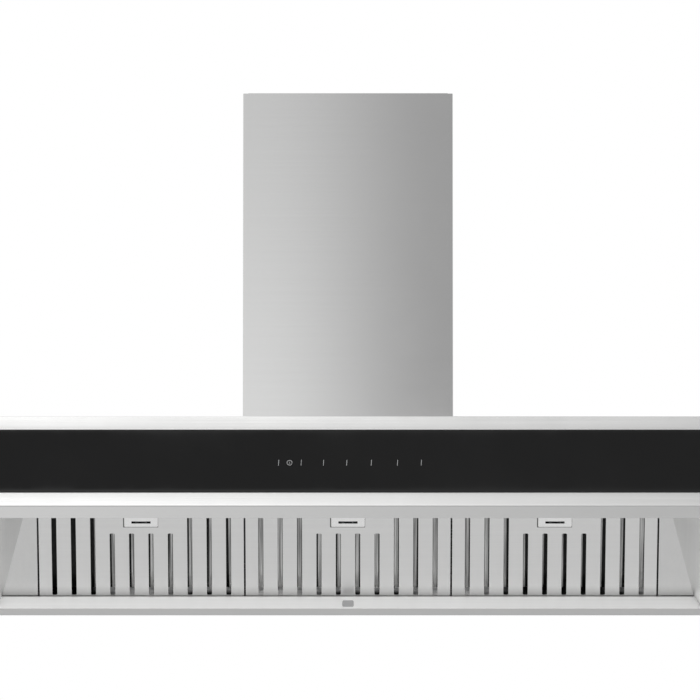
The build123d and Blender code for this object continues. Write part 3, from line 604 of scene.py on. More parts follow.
@dataclass(frozen=True)
class Brushed:
    """Sheet steel with a brushed grain.

    Extras that a finish may add are painted shade on faces that look down and on bends, a
    painted shadow line beside a CAD node, painted shade towards the rear, painted shade behind
    the face of a CAD node and on the end walls of the slots in it, and painted light deep
    behind that face.
    """

    name: str
    colour: Colour
    roughness: float
    brush: Brush
    contrast: float = 0.02
    grain_depth: float = 0.000003
    smudge: float = 0.04
    streak: float = 0.02
    painted_underside_shade: float = 1.0
    painted_bend_shade: float = 1.0
    painted_shadow: str = ""
    painted_shadow_tone: float = 0.12
    painted_shadow_shift: Range = (-0.0007, 0.0030)
    painted_shadow_width: Range = (0.0008, 0.0016)
    rear: str = ""
    painted_rear_shade: float = 0.5
    painted_rear_reach: Range = (0.052, -0.002)
    face: str = ""
    painted_shade: float = 0.005
    painted_shade_depth: Range = (0.0011, 0.0035)
    painted_shade_edge: Range | None = None
    painted_light_depth: Range = (0.0045, 0.006)
    slot_end: Range = (0.0175, 0.0165)
    slot_skin: Range = (0.0004, 0.0012)
    slot_back: Range = (0.0040, 0.0105)
    slot_painted_shade: Stops = ()
    slot_pale: Stops = ()
    dull: float = 0.5

    def _trimmed(self, shader: Shader, tone: Socket) -> Socket:
        """Lay the painted shade of lower faces, bends, shadow line and rear over the grain.

        Args:
            shader: The material in the making.
            tone: Colour of the grain.

        Returns:
            The colour with its trims.
        """
        trims: list[tuple[Socket, float]] = []
        # Painted shade: faces that look down are darkened.
        if self.painted_underside_shade != 1.0:
            trims.append((shader.painted_underside_shade(), self.painted_underside_shade))
        # Painted shade on the rounded edges between upright faces and those that look down.
        if self.painted_bend_shade != 1.0:
            trims.append((shader.bend_shade_mask(), self.painted_bend_shade))
        # Painted shadow round the latch plate, wider on its left and rear.
        if self.painted_shadow:
            line = shader.beside(self.painted_shadow, self.painted_shadow_width, self.painted_shadow_shift)
            trims.append((line, self.painted_shadow_tone))
        # Painted shade towards the rear end of a CAD node, where the parts meet the tray.
        if self.rear:
            rear_shade = shader.towards_rear(self.rear, self.painted_rear_reach, Ease.SMOOTH)
            trims.append((rear_shade, self.painted_rear_shade))
        for mask, level in trims:
            tone = shader.blend(mask, tone, shade(self.colour, level))
        return tone

    def _slotted(self, shader: Shader, painted_shade: Socket) -> tuple[Socket, Socket]:
        """Take the painted shade off deep behind the face, where light is painted instead, and
        paint shade on the slots' rear end walls.

        Args:
            shader: The material in the making.
            painted_shade: Mask of the painted shade behind the face.

        Returns:
            The mask of the soot that is left, and the mask of the bare, dull steel.
        """
        inside = shader.beside(self.face, self.painted_shade_edge)
        across = shader.axes(shader.place)["X"]
        walls = shader.towards_rear(self.face, self.slot_end)
        walls = shader.times(walls, shader.behind(self.face, self.slot_skin))
        painted_light = shader.combine("MAXIMUM", shader.behind(self.face, self.painted_light_depth), walls)
        painted_light = shader.times(painted_light, inside)
        pale = shader.steps(across, self.slot_pale)
        pale = shader.times(shader.behind(self.face, self.slot_back), pale)
        # Painted shade on the slots' rear end walls, set channel by channel along the hood.
        end_wall_shade = shader.combine("SUBTRACT", walls, pale)
        end_wall_shade = shader.times(end_wall_shade, shader.steps(across, self.slot_painted_shade))
        left = shader.combine("SUBTRACT", shader.times(painted_shade, inside), painted_light)
        return shader.combine("MAXIMUM", left, end_wall_shade), painted_light

    def material(self) -> bpy.types.Material:
        """Make the material.

        Returns:
            The finished material.
        """
        shader = Shader(self.name)
        grain = shader.effect(EFFECTS.brushed, shader.mapped(self.brush.value))
        tone = shader.toned(grain["Tone"], self.colour, about(1.0, self.contrast))
        tone = self._trimmed(shader, tone)
        streak = shader.spread(grain["Tone"], UNIT, (self.streak, -self.streak))
        rough = shader.combine("ADD", shader.worn(self.roughness, self.smudge), streak)
        # Painted shade: what lies behind the face of a CAD node, down its slots, is darkened.
        if self.face:
            painted_shade = shader.behind(self.face, self.painted_shade_depth)
            if self.painted_shade_edge:
                painted_shade, painted_light = self._slotted(shader, painted_shade)
                # Painted light: deep behind the face and on the slots' end walls the base turns
                # white.
                tone = shader.blend(painted_light, tone, WHITE)
                rough = shader.combine("ADD", rough, shader.times(painted_light, self.dull))
            tone = shader.blend(painted_shade, tone, shade(self.colour, self.painted_shade))
        shader.feed("Base Color", tone)
        shader.feed("Roughness", rough)
        shader.relief(grain["Height"], self.grain_depth)
        shader.set(shader.surface, Metallic=1.0)
        return shader.material


@dataclass(frozen=True)
class ShadePaintedChannels:
    """Pressed channels with painted shade, most along their outer edges."""

    name: str
    clean: Colour
    dark: Colour
    back: Colour
    roughness: float
    node: str = "filter_baffles_center"
    channels: int = 10
    spacing: float = 0.0094
    outer: Range = (0.128, -0.135)
    inner: Range = (-0.100, -0.118)
    soft: float = 0.02
    patch_scale: Point = (16.0, 1.0, 1.0)
    patch_contrast: Range = (0.3, 0.7)
    patch_shift: Range = (-0.2, 0.2)
    streak_scale: Point = (420.0, 3.0, 3.0)
    streak_contrast: Range = (0.40, 0.60)
    streak_tones: Range = (0.5, 1.3)
    streak_depth: float = 0.00001
    painted_shade_dull: float = 0.2
    painted_rear_reach: Range = (0.050, 0.012)
    painted_rear_light: float = 1.6
    rear_dull: float = 0.45
    # How far the painted shade reaches in from each channel's outer edge, along the hood.
    along: Stops = (
        (-0.50, 1.0), (-0.43, 0.85), (-0.40, 0.3), (-0.26, 0.3), (-0.20, 0.5), (-0.16, 0.1),
        (0.20, 0.15), (0.27, 0.5), (0.42, 0.65), (0.46, 0.35), (0.50, 0.1),
    )

    def _outward(self, shader: Shader, across: Socket) -> Socket:
        """Find the place across the nearest channel.

        Args:
            shader: The material in the making.
            across: Place along the hood.

        Returns:
            The place in shares of a pitch, positive outwards.
        """
        low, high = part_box(self.node)
        pitch = (high.x - low.x + self.spacing) / self.channels
        step = shader.combine("FRACT", shader.combine("DIVIDE", shader.bay(across), pitch))
        return shader.times(shader.combine("SUBTRACT", step, 0.5), shader.combine("SIGN", across))

    def _painted_shade_mask(self, shader: Shader) -> Socket:
        """Mask the painted shade, which reaches in from a channel's outer edge and lines the inner
        one.

        Args:
            shader: The material in the making.

        Returns:
            The mask, from 0 to 1.
        """
        across = shader.axes(shader.place)["X"]
        outward = self._outward(shader, across)
        patch = shader.noise(shader.mapped(self.patch_scale), scale=1.0, detail=1.0, rough=0.5)
        patch = shader.spread(patch, self.patch_contrast, self.patch_shift)
        share = shader.combine("ADD", shader.steps(across, self.along), patch)
        reach = shader.spread(share, UNIT, self.outer)
        shadow = shader.spread(shader.combine("SUBTRACT", outward, reach), about(0.0, self.soft))
        return shader.combine("MAXIMUM", shadow, shader.spread(outward, self.inner))

    def material(self) -> bpy.types.Material:
        """Make the material.

        Returns:
            The finished material.
        """
        shader = Shader(self.name)
        painted_shade = self._painted_shade_mask(shader)
        streak = shader.noise(shader.mapped(self.streak_scale), scale=1.0, detail=3.0, rough=0.6)
        lines = shader.spread(streak, self.streak_contrast)
        # Painted light: the channels turn paler towards their rear ends, where they would show
        # dark.
        rear = shader.towards_rear(self.node, self.painted_rear_reach)
        tone = shader.toned(lines, self.clean, self.streak_tones)
        tone = shader.blend(rear, tone, shade(self.clean, self.painted_rear_light))
        # Painted shade from the mask of the channels' edges.
        tone = shader.blend(painted_shade, tone, self.dark)
        shader.feed("Base Color", shader.blend(shader.backs(), tone, self.back))
        shade_dulled = shader.spread(painted_shade, UNIT, (self.roughness, self.roughness + self.painted_shade_dull))
        rough = shader.combine("ADD", shade_dulled, shader.times(rear, self.rear_dull))
        shader.feed("Roughness", rough)
        shader.relief(streak, self.streak_depth)
        shader.set(shader.surface, Metallic=1.0)
        return shader.material


@dataclass(frozen=True)
class Spangled:
    """Zinc-coated sheet."""

    name: str
    colour: Colour
    roughness: float
    tones: Range = (0.82, 1.15)
    crystal: float = 0.07
    wear: float = 0.08
    depth: float = 0.00002
    strength: float = 0.4

    def material(self) -> bpy.types.Material:
        """Make the material.

        Returns:
            The finished material.
        """
        shader = Shader(self.name)
        patch = shader.effect(EFFECTS.spangled, shader.place)
        shader.feed("Base Color", shader.toned(patch["Tone"], self.colour, self.tones))
        crystal = shader.spread(patch["Tone"], UNIT, about(self.roughness, self.crystal))
        shader.feed("Roughness", shader.combine("ADD", crystal, shader.worn(0.0, self.wear)))
        shader.relief(patch["Height"], self.depth, self.strength)
        shader.set(shader.surface, Metallic=1.0)
        return shader.material


@dataclass(frozen=True)
class Moulded:
    """Moulded plastic, enamel or cast metal with a pebbled skin."""

    name: str
    colour: Colour
    roughness: float
    metallic: float = 0.0
    pebble: float = 0.00003
    strength: float = 0.5
    variation: float = 0.08
    wear: float = 0.08

    def material(self) -> bpy.types.Material:
        """Make the material.

        Returns:
            The finished material.
        """
        shader = Shader(self.name)
        skin = shader.effect(EFFECTS.moulded, shader.place)
        tone = shader.toned(skin["Tone"], self.colour, about(1.0, self.variation))
        shader.feed("Base Color", tone)
        shader.feed("Roughness", shader.worn(self.roughness, self.wear))
        shader.relief(skin["Height"], self.pebble, self.strength)
        shader.set(shader.surface, Metallic=self.metallic)
        return shader.material


@dataclass(frozen=True)
class PaintedGlass:
    """Polished glass, painted black behind."""

    name: str
    colour: Colour
    roughness: float
    film_tones: Range = (1.0, 1.25)
    wear: float = 0.05
    refraction: float = 1.4

    def material(self) -> bpy.types.Material:
        """Make the material.

        Returns:
            The finished material.
        """
        shader = Shader(self.name)
        shader.feed("Base Color", shader.toned(shader.smudge(), self.colour, self.film_tones))
        shader.feed("Roughness", shader.worn(self.roughness, self.wear))
        shader.set(shader.surface, IOR=self.refraction)
        return shader.material


@dataclass(frozen=True)
class SolderMask:
    """Printed circuit board: green mask over copper runs."""

    name: str
    colour: Colour
    copper: Colour
    roughness: float = 0.25
    wear: float = 0.15
    run_scale: float = 70.0
    run_width: float = 0.06
    run_offset: float = 0.37
    run_squash: float = 1.7
    run_depth: float = 0.00003
    run_strength: float = 0.6
    second_tone: float = 0.8

    def material(self) -> bpy.types.Material:
        """Make the material.

        Returns:
            The finished material.
        """
        shader = Shader(self.name)
        runs = shader.set(
            shader.add("TexBrick", offset=self.run_offset, squash=self.run_squash),
            Scale=self.run_scale, Mortar_Size=self.run_width, Mortar=rgba(self.copper),
            Color1=rgba(self.colour), Color2=rgba(shade(self.colour, self.second_tone)),
        )
        shader.join(shader.place, runs.inputs["Vector"])
        shader.feed("Base Color", runs.outputs["Color"])
        shader.feed("Roughness", shader.worn(self.roughness, self.wear))
        shader.relief(runs.outputs["Fac"], self.run_depth, self.run_strength)
        return shader.material


class Finish(Enum):
    """Every finish of the hood."""

    # Painted shade on the fascia's lip that looks down and on the rounded edge above it.
    FASCIA = Brushed(
        "fascia_steel", (0.76, 0.76, 0.755), 0.16, Brush.ALONG_X, painted_underside_shade=0.93, painted_bend_shade=0.6
    )
    CHIMNEY = Brushed(
        "chimney_steel", (0.57, 0.57, 0.568), 0.17, Brush.LEVEL, contrast=0.006,
        grain_depth=0.0000015,
    )
    PANEL = Brushed("panel_steel", (0.60, 0.60, 0.597), 0.25, Brush.LEVEL)
    TOP = Brushed("top_steel", (0.60, 0.60, 0.597), 0.25, Brush.ALONG_X)
    # Painted shade on the cheeks towards the filters' rear end.
    CHEEK = Brushed(
        "cheek_steel", (0.69, 0.69, 0.685), 0.30, Brush.ALONG_Y, rear="filter_face_center"
    )
    LIGHT = Brushed("light_panel_steel", (0.70, 0.70, 0.695), 0.30, Brush.ALONG_X)
    # Painted shade on the tray's faces that look down.
    TRAY = Brushed("tray_steel", (0.93, 0.93, 0.925), 0.48, Brush.ALONG_X, painted_underside_shade=0.67)
    FILTER = Brushed(
        "filter_steel", (0.775, 0.775, 0.77), 0.38, Brush.ALONG_X, contrast=0.015,
        painted_shadow="latch_plate_center", rear="filter_face_center", face="filter_face_center",
        painted_shade_edge=(-0.0035, -0.0022),
        # How dark the painted shade on each slot's rear end wall is, along the hood.
        slot_painted_shade=(
            (-0.42, 1.0), (-0.37, 0.35), (-0.33, 0.35), (-0.26, 0.97), (-0.20, 0.97),
            (-0.15, 0.15), (-0.09, 0.25), (-0.03, 0.97), (0.09, 0.97), (0.14, 0.25),
            (0.20, 0.2), (0.26, 0.97), (0.46, 0.97), (0.49, 0.7),
        ),
        # Where the painted shade on the deeper part of those end walls is taken off, along the
        # hood.
        slot_pale=(
            (-0.43, 0.0), (-0.40, 0.9), (0.23, 1.0), (0.28, 0.0), (0.42, 0.0), (0.49, 1.0),
        ),
    )
    # Painted shade along the channels' edges and painted light at their rear ends.
    BAFFLE = ShadePaintedChannels(
        "baffle_steel", (0.62, 0.62, 0.615), (0.022, 0.022, 0.022), (0.38, 0.37, 0.36), 0.42
    )
    # Painted shade on the latch parts that lie behind the filter face.
    LATCH = Brushed(
        "latch_steel", (0.94, 0.94, 0.935), 0.26, Brush.ALONG_X, face="filter_face_center",
        painted_shade=0.05,
    )
    SPRING = Brushed("spring_steel", (0.40, 0.40, 0.41), 0.25, Brush.ALONG_X)
    ZINC = Moulded("zinc_fastener", (0.66, 0.66, 0.65), 0.24, metallic=1.0, pebble=0.00001)
    MAGNET = Moulded("magnet_nickel", (0.45, 0.45, 0.46), 0.2, metallic=1.0, pebble=0.00001)
    ALUMINIUM = Moulded("cast_aluminium", (0.60, 0.60, 0.61), 0.36, metallic=1.0)
    CAPACITOR = Brushed("capacitor_can", (0.70, 0.70, 0.70), 0.3, Brush.ALONG_X)
    GALVANISED = Spangled("galvanised_steel", (0.52, 0.54, 0.55), 0.36)
    BLACK_PLASTIC = Moulded("black_plastic", (0.025, 0.025, 0.026), 0.46)
    GREY_PLASTIC = Moulded("grey_plastic", (0.45, 0.45, 0.455), 0.42)
    MOTOR = Moulded("motor_enamel", (0.10, 0.10, 0.11), 0.38)
    LENS = Moulded("lamp_lens", (0.86, 0.86, 0.83), 0.3, variation=0.02)
    GLASS = PaintedGlass("black_glass", (0.004, 0.004, 0.0041), 0.04)
    BEAD = Moulded("glass_bead", (0.012, 0.012, 0.012), 0.55)
    PRINT = Moulded("touch_print", (0.36, 0.365, 0.37), 0.5, pebble=0.00001)
    SYMBOL = Moulded("power_print", (0.82, 0.82, 0.82), 0.5, pebble=0.00001)
    BOARD = SolderMask("circuit_board", (0.03, 0.16, 0.07), (0.10, 0.24, 0.12))


NODE_FINISH: dict[Finish, tuple[str, ...]] = {
    Finish.FASCIA: ("front_fascia",),
    Finish.CHIMNEY: ("lower_chimney", "upper_chimney"),
    Finish.PANEL: ("rear_panel", "left_side_panel", "right_side_panel"),
    Finish.TOP: ("top_panel",),
    Finish.CHEEK: ("left_cheek", "right_cheek"),
    Finish.LIGHT: ("light_panel",),
    Finish.TRAY: ("grease_tray",),
    Finish.FILTER: ("filter_face",),
    Finish.BAFFLE: ("filter_baffles",),
    Finish.LATCH: ("latch_plate", "latch_slide"),
    Finish.SPRING: ("latch_spring",),
    Finish.ZINC: ("frame_bolts", "panel_screws", "chimney_screws", "motor_shaft"),
    Finish.MAGNET: ("tray_magnets",),
    Finish.ALUMINIUM: ("impeller", "lamp_body"),
    Finish.CAPACITOR: ("capacitor",),
    Finish.GALVANISED: (
        "ceiling_bracket", "lower_upright", "scroll", "blower_brackets", "motor_bracket",
        "control_box",
    ),
    Finish.BLACK_PLASTIC: ("touch_board_cover", "outlet_collar", "cable_gland", "damper_flap"),
    Finish.GREY_PLASTIC: ("tray_grip",),
    Finish.MOTOR: ("motor",),
    Finish.LENS: ("lamp_lens",),
    Finish.GLASS: ("glass_panel",),
    Finish.BOARD: ("touch_board", "power_board"),
}


class Wardrobe:
    """Makes each finish once and puts it on pieces and CAD nodes."""

    def __init__(self) -> None:
        """Start with no material made."""
        self.made: dict[Finish, bpy.types.Material] = {}

    def material(self, finish: Finish) -> bpy.types.Material:
        """Make a finish's material on its first use.

        Args:
            finish: The finish.

        Returns:
            Its material.
        """
        if finish not in self.made:
            self.made[finish] = finish.value.material()
        return self.made[finish]

    def dress(self, piece: Piece, finish: Finish) -> None:
        """Put a finish on a piece in place of what it wears.

        Args:
            piece: The piece.
            finish: The finish.
        """
        if not piece.material_slots:
            piece.data.materials.append(self.material(finish))
        for slot in piece.material_slots:
            slot.material = self.material(finish)

    def dress_frame(self) -> None:
        """Put the finishes on the CAD nodes, the longest matching name first."""
        stems = {stem: finish for finish, names in NODE_FINISH.items() for stem in names}
        for name, node in frame["nodes"].items():
            stem = max((s for s in stems if name.startswith(s)), key=len)
            self.dress(node, stems[stem])


# Modelling by hand


class Bench:
    """Operators that act on one selected piece at a time."""

    MERGE_DISTANCE = 0.000001
    GENTLE_BEND = math.radians(35)
    FACING = 0.9
    ALIGNED = 0.99

    @staticmethod
    def done() -> None:
        """Leave edit mode."""
        bpy.ops.object.mode_set(mode="OBJECT")

    @staticmethod
    def clear() -> None:
        """Leave edit mode and deselect everything."""
        if bpy.context.object and bpy.context.object.mode != "OBJECT":
            Bench.done()
        bpy.ops.object.select_all(action="DESELECT")

    @staticmethod
    def start(operator: Callable[..., set[str]], **settings: object) -> Piece:
        """Add a primitive, a light or a camera with nothing else selected.

        Args:
            operator: The operator that adds it.
            settings: The operator's settings, by name.

        Returns:
            The new object.
        """
        Bench.clear()
        operator(**settings)
        return bpy.context.object

    @staticmethod
    def pick(piece: Piece) -> None:
        """Make one piece the selected and active one.

        Args:
            piece: The piece.
        """
        Bench.clear()
        piece.select_set(True)
        bpy.context.view_layer.objects.active = piece

    @staticmethod
    def settle(piece: Piece, **place: object) -> None:
        """Place, turn or scale a piece and move that into its mesh.

        Args:
            piece: The piece.
            place: Its location, rotation_euler or scale, by name.
        """
        for name, value in place.items():
            setattr(piece, name, value)
        Bench.pick(piece)
        bpy.ops.object.transform_apply(location=True, rotation=True, scale=True)

    @staticmethod
    def choose(piece: Piece, element: Element, wanted: Callable[..., bool]) -> None:
        """Select what passes a test and open edit mode.

        Args:
            piece: The piece.
            element: Whether its edges or its faces are tested.
            wanted: The test.
        """
        Bench.pick(piece)
        bpy.ops.object.mode_set(mode="EDIT")
        bpy.ops.mesh.select_mode(type=element.name)
        bpy.ops.mesh.select_all(action="DESELECT")
        Bench.done()
        for item in getattr(piece.data, element.value):
            item.select = wanted(item)
        bpy.ops.object.mode_set(mode="EDIT")

    @staticmethod
    def choose_faces(piece: Piece, way: Vector) -> None:
        """Select the faces that look one way and open edit mode."""
        Bench.choose(piece, Element.FACE, lambda face: face.normal.dot(way) > Bench.FACING)

    @staticmethod
    def choose_edges(piece: Piece, way: Vector) -> None:
        """Select the edges that run one way and open edit mode."""
        Bench.choose(piece, Element.EDGE, lambda edge: Bench.runs(piece, edge, way))

    @staticmethod
    def runs(piece: Piece, edge: bpy.types.MeshEdge, way: Vector) -> bool:
        """Tell whether an edge of a piece runs one way or the opposite way."""
        first, second = (piece.data.vertices[index].co for index in edge.vertices)
        return abs((second - first).normalized().dot(way)) > Bench.ALIGNED

    @staticmethod
    def apply(piece: Piece, kind: str, **settings: object) -> None:
        """Add a modifier and apply it.

        Args:
            piece: The piece.
            kind: The modifier's type.
            settings: Its properties, by name.
        """
        Bench.pick(piece)
        modifier = piece.modifiers.new(kind.lower(), kind)
        for name, value in settings.items():
            setattr(modifier, name, value)
        bpy.ops.object.modifier_apply(modifier=modifier.name)

    @staticmethod
    def hollow(piece: Piece, stroke: float, thickness: float) -> None:
        """Cut a flat face down to a frame round its edge and give it a thickness.

        Args:
            piece: The piece, one face that looks up.
            stroke: Width of the frame.
            thickness: Its thickness.
        """
        Bench.choose_faces(piece, UP)
        bpy.ops.mesh.inset(thickness=stroke)
        bpy.ops.mesh.delete(type="FACE")
        Bench.done()
        Bench.apply(piece, "SOLIDIFY", thickness=thickness, offset=0.0)

    @staticmethod
    def close(piece: Piece) -> None:
        """Merge doubles, turn the faces outwards and smooth the gentle edges.

        Args:
            piece: The piece.
        """
        Bench.pick(piece)
        bpy.ops.object.mode_set(mode="EDIT")
        bpy.ops.mesh.select_all(action="SELECT")
        bpy.ops.mesh.remove_doubles(threshold=Bench.MERGE_DISTANCE)
        bpy.ops.mesh.normals_make_consistent(inside=False)
        Bench.done()
        bpy.ops.object.shade_smooth_by_angle(angle=Bench.GENTLE_BEND)

    @staticmethod
    def join(pieces: list[Piece], name: str) -> Piece:
        """Join pieces into one.

        Args:
            pieces: The pieces.
            name: Name of the joined piece.

        Returns:
            The joined piece.
        """
        Bench.pick(pieces[0])
        for piece in pieces:
            piece.select_set(True)
        bpy.ops.object.join()
        pieces[0].name = name
        pieces[0].data.name = name
        return pieces[0]

    @staticmethod
    def copy(piece: Piece, shift: Vector) -> Piece:
        """Copy a piece with its own mesh.

        Args:
            piece: The piece.
            shift: How far the copy is moved.

        Returns:
            The copy.
        """
        Bench.pick(piece)
        bpy.ops.object.duplicate(linked=False)
        bpy.ops.transform.translate(value=shift)
        return bpy.context.object


@dataclass(frozen=True)
class Rig:
    """Hands finished pieces over to the frame."""

    wardrobe: Wardrobe

    def hand_over(
        self, piece: Piece, body: Body, finish: Finish, stands_for: str = ""
    ) -> None:
        """Close a piece, dress it and make it ride on its body.

        Args:
            piece: The modelled piece.
            body: CAD body that carries it.
            finish: Its finish.
            stands_for: CAD node that it replaces.
        """
        Bench.close(piece)
        self.wardrobe.dress(piece, finish)
        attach(piece, body.value)
        if stands_for:
            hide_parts(stands_for)
        LOG.info("%s: %d faces on %s", piece.name, len(piece.data.polygons), body.value)


@dataclass(frozen=True)
class TouchPanel:
    """Printed touch marks on the glass and the bead of sealant round it."""

    separators: tuple[float, ...] = (
        -0.1151, -0.0776, -0.0406, -0.0020, 0.0387, 0.0822, 0.1216,
    )
    level: float = -0.6898
    mark_size: Range = (0.0008, 0.0100)
    lean: float = math.radians(3.5)
    corner_share: float = 0.42
    corner_steps: int = 4
    power_x: float = -0.0970
    ring_radius: float = 0.0044
    ring_stroke: float = 0.0004
    ring_facets: int = 64
    bar_size: Range = (0.0004, 0.0030)
    print_depth: float = 0.00012
    bead_width: float = 0.00076
    bead_back: float = 0.0046
    bead_front: float = 0.0016

    def _on_glass(self, x: float) -> Point:
        """Return the middle of a print on the glass at a place along the hood."""
        return x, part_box("glass_panel")[0].y - self.print_depth / 2, self.level

    def _bar(self, x: float, size: Range, lean: float) -> Piece:
        """Model one printed bar with rounded corners.

        Args:
            x: Its place along the hood.
            size: Its width and height.
            lean: Its lean to the right, in radians.

        Returns:
            The bar.
        """
        width, height = size
        bar = Bench.start(bpy.ops.mesh.primitive_cube_add, size=1.0)
        Bench.settle(bar, scale=(width, self.print_depth, height))
        Bench.choose_edges(bar, BACK)
        bpy.ops.mesh.bevel(offset=width * self.corner_share, segments=self.corner_steps)
        Bench.done()
        Bench.settle(bar, location=self._on_glass(x), rotation_euler=(0.0, lean, 0.0))
        return bar

    def _ring(self) -> Piece:
        """Model the power symbol's ring on the glass face.

        Returns:
            The ring.
        """
        ring = Bench.start(
            bpy.ops.mesh.primitive_circle_add,
            vertices=self.ring_facets, radius=self.ring_radius, fill_type="NGON",
        )
        Bench.hollow(ring, self.ring_stroke, self.print_depth)
        place = self._on_glass(self.power_x)
        Bench.settle(ring, location=place, rotation_euler=(QUARTER_TURN, 0.0, 0.0))
        return ring

    def _bead(self) -> Piece:
        """Model the thin bead of sealant between the glass and its recess.

        Returns:
            The bead.
        """
        low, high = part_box("glass_panel")
        width, _, height = high - low
        edge = 2 * self.bead_width
        bead = Bench.start(bpy.ops.mesh.primitive_plane_add, size=1.0)
        Bench.settle(bead, scale=(width + edge, height + edge, 1.0))
        Bench.hollow(bead, self.bead_width, self.bead_back - self.bead_front)
        place = (low + high) / 2
        place.y = low.y + (self.bead_back + self.bead_front) / 2
        Bench.settle(bead, location=place, rotation_euler=(QUARTER_TURN, 0.0, 0.0))
        bead.name = "glass_bead"
        return bead

    def build(self, rig: Rig) -> None:
        """Model the marks and the bead and hand them over.

        Args:
            rig: Takes the finished pieces.
        """
        bars = [self._bar(x, self.mark_size, self.lean) for x in self.separators]
        marks = Bench.join(bars, "touch_separators")
        bar = self._bar(self.power_x, self.bar_size, 0.0)
        power = Bench.join([self._ring(), bar], "power_symbol")
        rig.hand_over(marks, Body.CANOPY, Finish.PRINT)
        rig.hand_over(power, Body.CANOPY, Finish.SYMBOL)
        rig.hand_over(self._bead(), Body.CANOPY, Finish.BEAD)


@dataclass(frozen=True)
class LampLenses:
    """Frosted lenses with prism rings in the two lamps."""

    sides: tuple[str, ...] = ("left", "right")
    facets: int = 72
    rings: int = 5
    ring_step: float = 0.0042
    ring_rise: float = 0.00045
    inner_share: float = 0.5
    thickness: float = 0.0016

    def _lens(self, side: str) -> Piece:
        """Model one lens in its lamp's bezel, prism rings towards the cook.

        Args:
            side: The lamp's side.

        Returns:
            The lens.
        """
        low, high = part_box("lamp_lens_" + side)
        look = underside("lamp_lens_" + side)[0]
        lens = Bench.start(
            bpy.ops.mesh.primitive_cylinder_add,
            vertices=self.facets, radius=(high.x - low.x) / 2, depth=self.thickness,
        )
        Bench.choose_faces(lens, DOWN)
        for ring in range(self.rings):
            bpy.ops.mesh.inset(thickness=self.ring_step * self.inner_share)
            rise = self.ring_rise if ring % 2 == 0 else -self.ring_rise
            bpy.ops.transform.translate(value=(0, 0, rise))
            bpy.ops.mesh.inset(thickness=self.ring_step * (1 - self.inner_share))
        Bench.done()
        turn = (math.atan2(look.y, -look.z), 0.0, 0.0)
        Bench.settle(lens, location=(low + high) / 2, rotation_euler=turn)
        lens.name = "lamp_diffuser_" + side
        return lens

    def build(self, rig: Rig) -> None:
        """Model both lenses and hand them over.

        Args:
            rig: Takes the finished pieces.
        """
        for side in self.sides:
            lens = self._lens(side)
            rig.hand_over(lens, Body.CANOPY, Finish.LENS, "lamp_lens_" + side)


@dataclass(frozen=True)
class LatchSprings:
    """Bowed leaf springs behind the latch sliders."""

    sides: tuple[str, ...] = ("left", "center", "right")
    strip: float = 0.0005
    facets: int = 180
    pressed_share: float = 0.28

    def _leaf(self, side: str, along: Vector) -> Piece:
        """Model one leaf in the place of its CAD node.

        Args:
            side: The filter's side.
            along: Direction in which its latch slides open.

        Returns:
            The leaf.
        """
        node = "latch_spring_" + side
        low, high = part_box(node)
        inward = ACROSS.cross(along)
        front, rear = span(node, along)
        outer, inner = span(node, inward)
        chord, bow = (high.x - low.x - self.strip) / 2, rear - front - self.strip
        radius = (chord**2 + bow**2) / (2 * bow)
        leaf = Bench.start(
            bpy.ops.mesh.primitive_cylinder_add,
            vertices=self.facets, radius=radius, depth=inner - outer, end_fill_type="NOTHING",
        )
        Bench.choose(leaf, Element.FACE, lambda face: face.center.y > bow - radius)
        bpy.ops.mesh.delete(type="FACE")
        Bench.done()
        Bench.apply(leaf, "SOLIDIFY", thickness=self.strip, offset=0.0)
        place = along * (front + self.strip / 2 + radius) + inward * (outer + inner) / 2
        place.x += (low.x + high.x) / 2
        turn = (math.atan2(along.z, along.y), 0.0, 0.0)
        Bench.settle(leaf, location=place, rotation_euler=turn)
        leaf.name = "latch_leaf_" + side
        return leaf

    def build(self, rig: Rig) -> None:
        """Model the leaves, hand them over and give each its own mesh.

        Args:
            rig: Takes the finished pieces.
        """
        slides = {joint["name"]: joint for joint in frame["record"]["behaviour"]["joints"]}
        for side in self.sides:
            slide, node = slides[f"latch_{side}_slide"], "latch_spring_" + side
            along = Vector(slide["axis"]).normalized()
            leaf = self._leaf(side, along)
            rig.hand_over(leaf, Body("filter_" + side), Finish.SPRING, node)
            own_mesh(leaf)


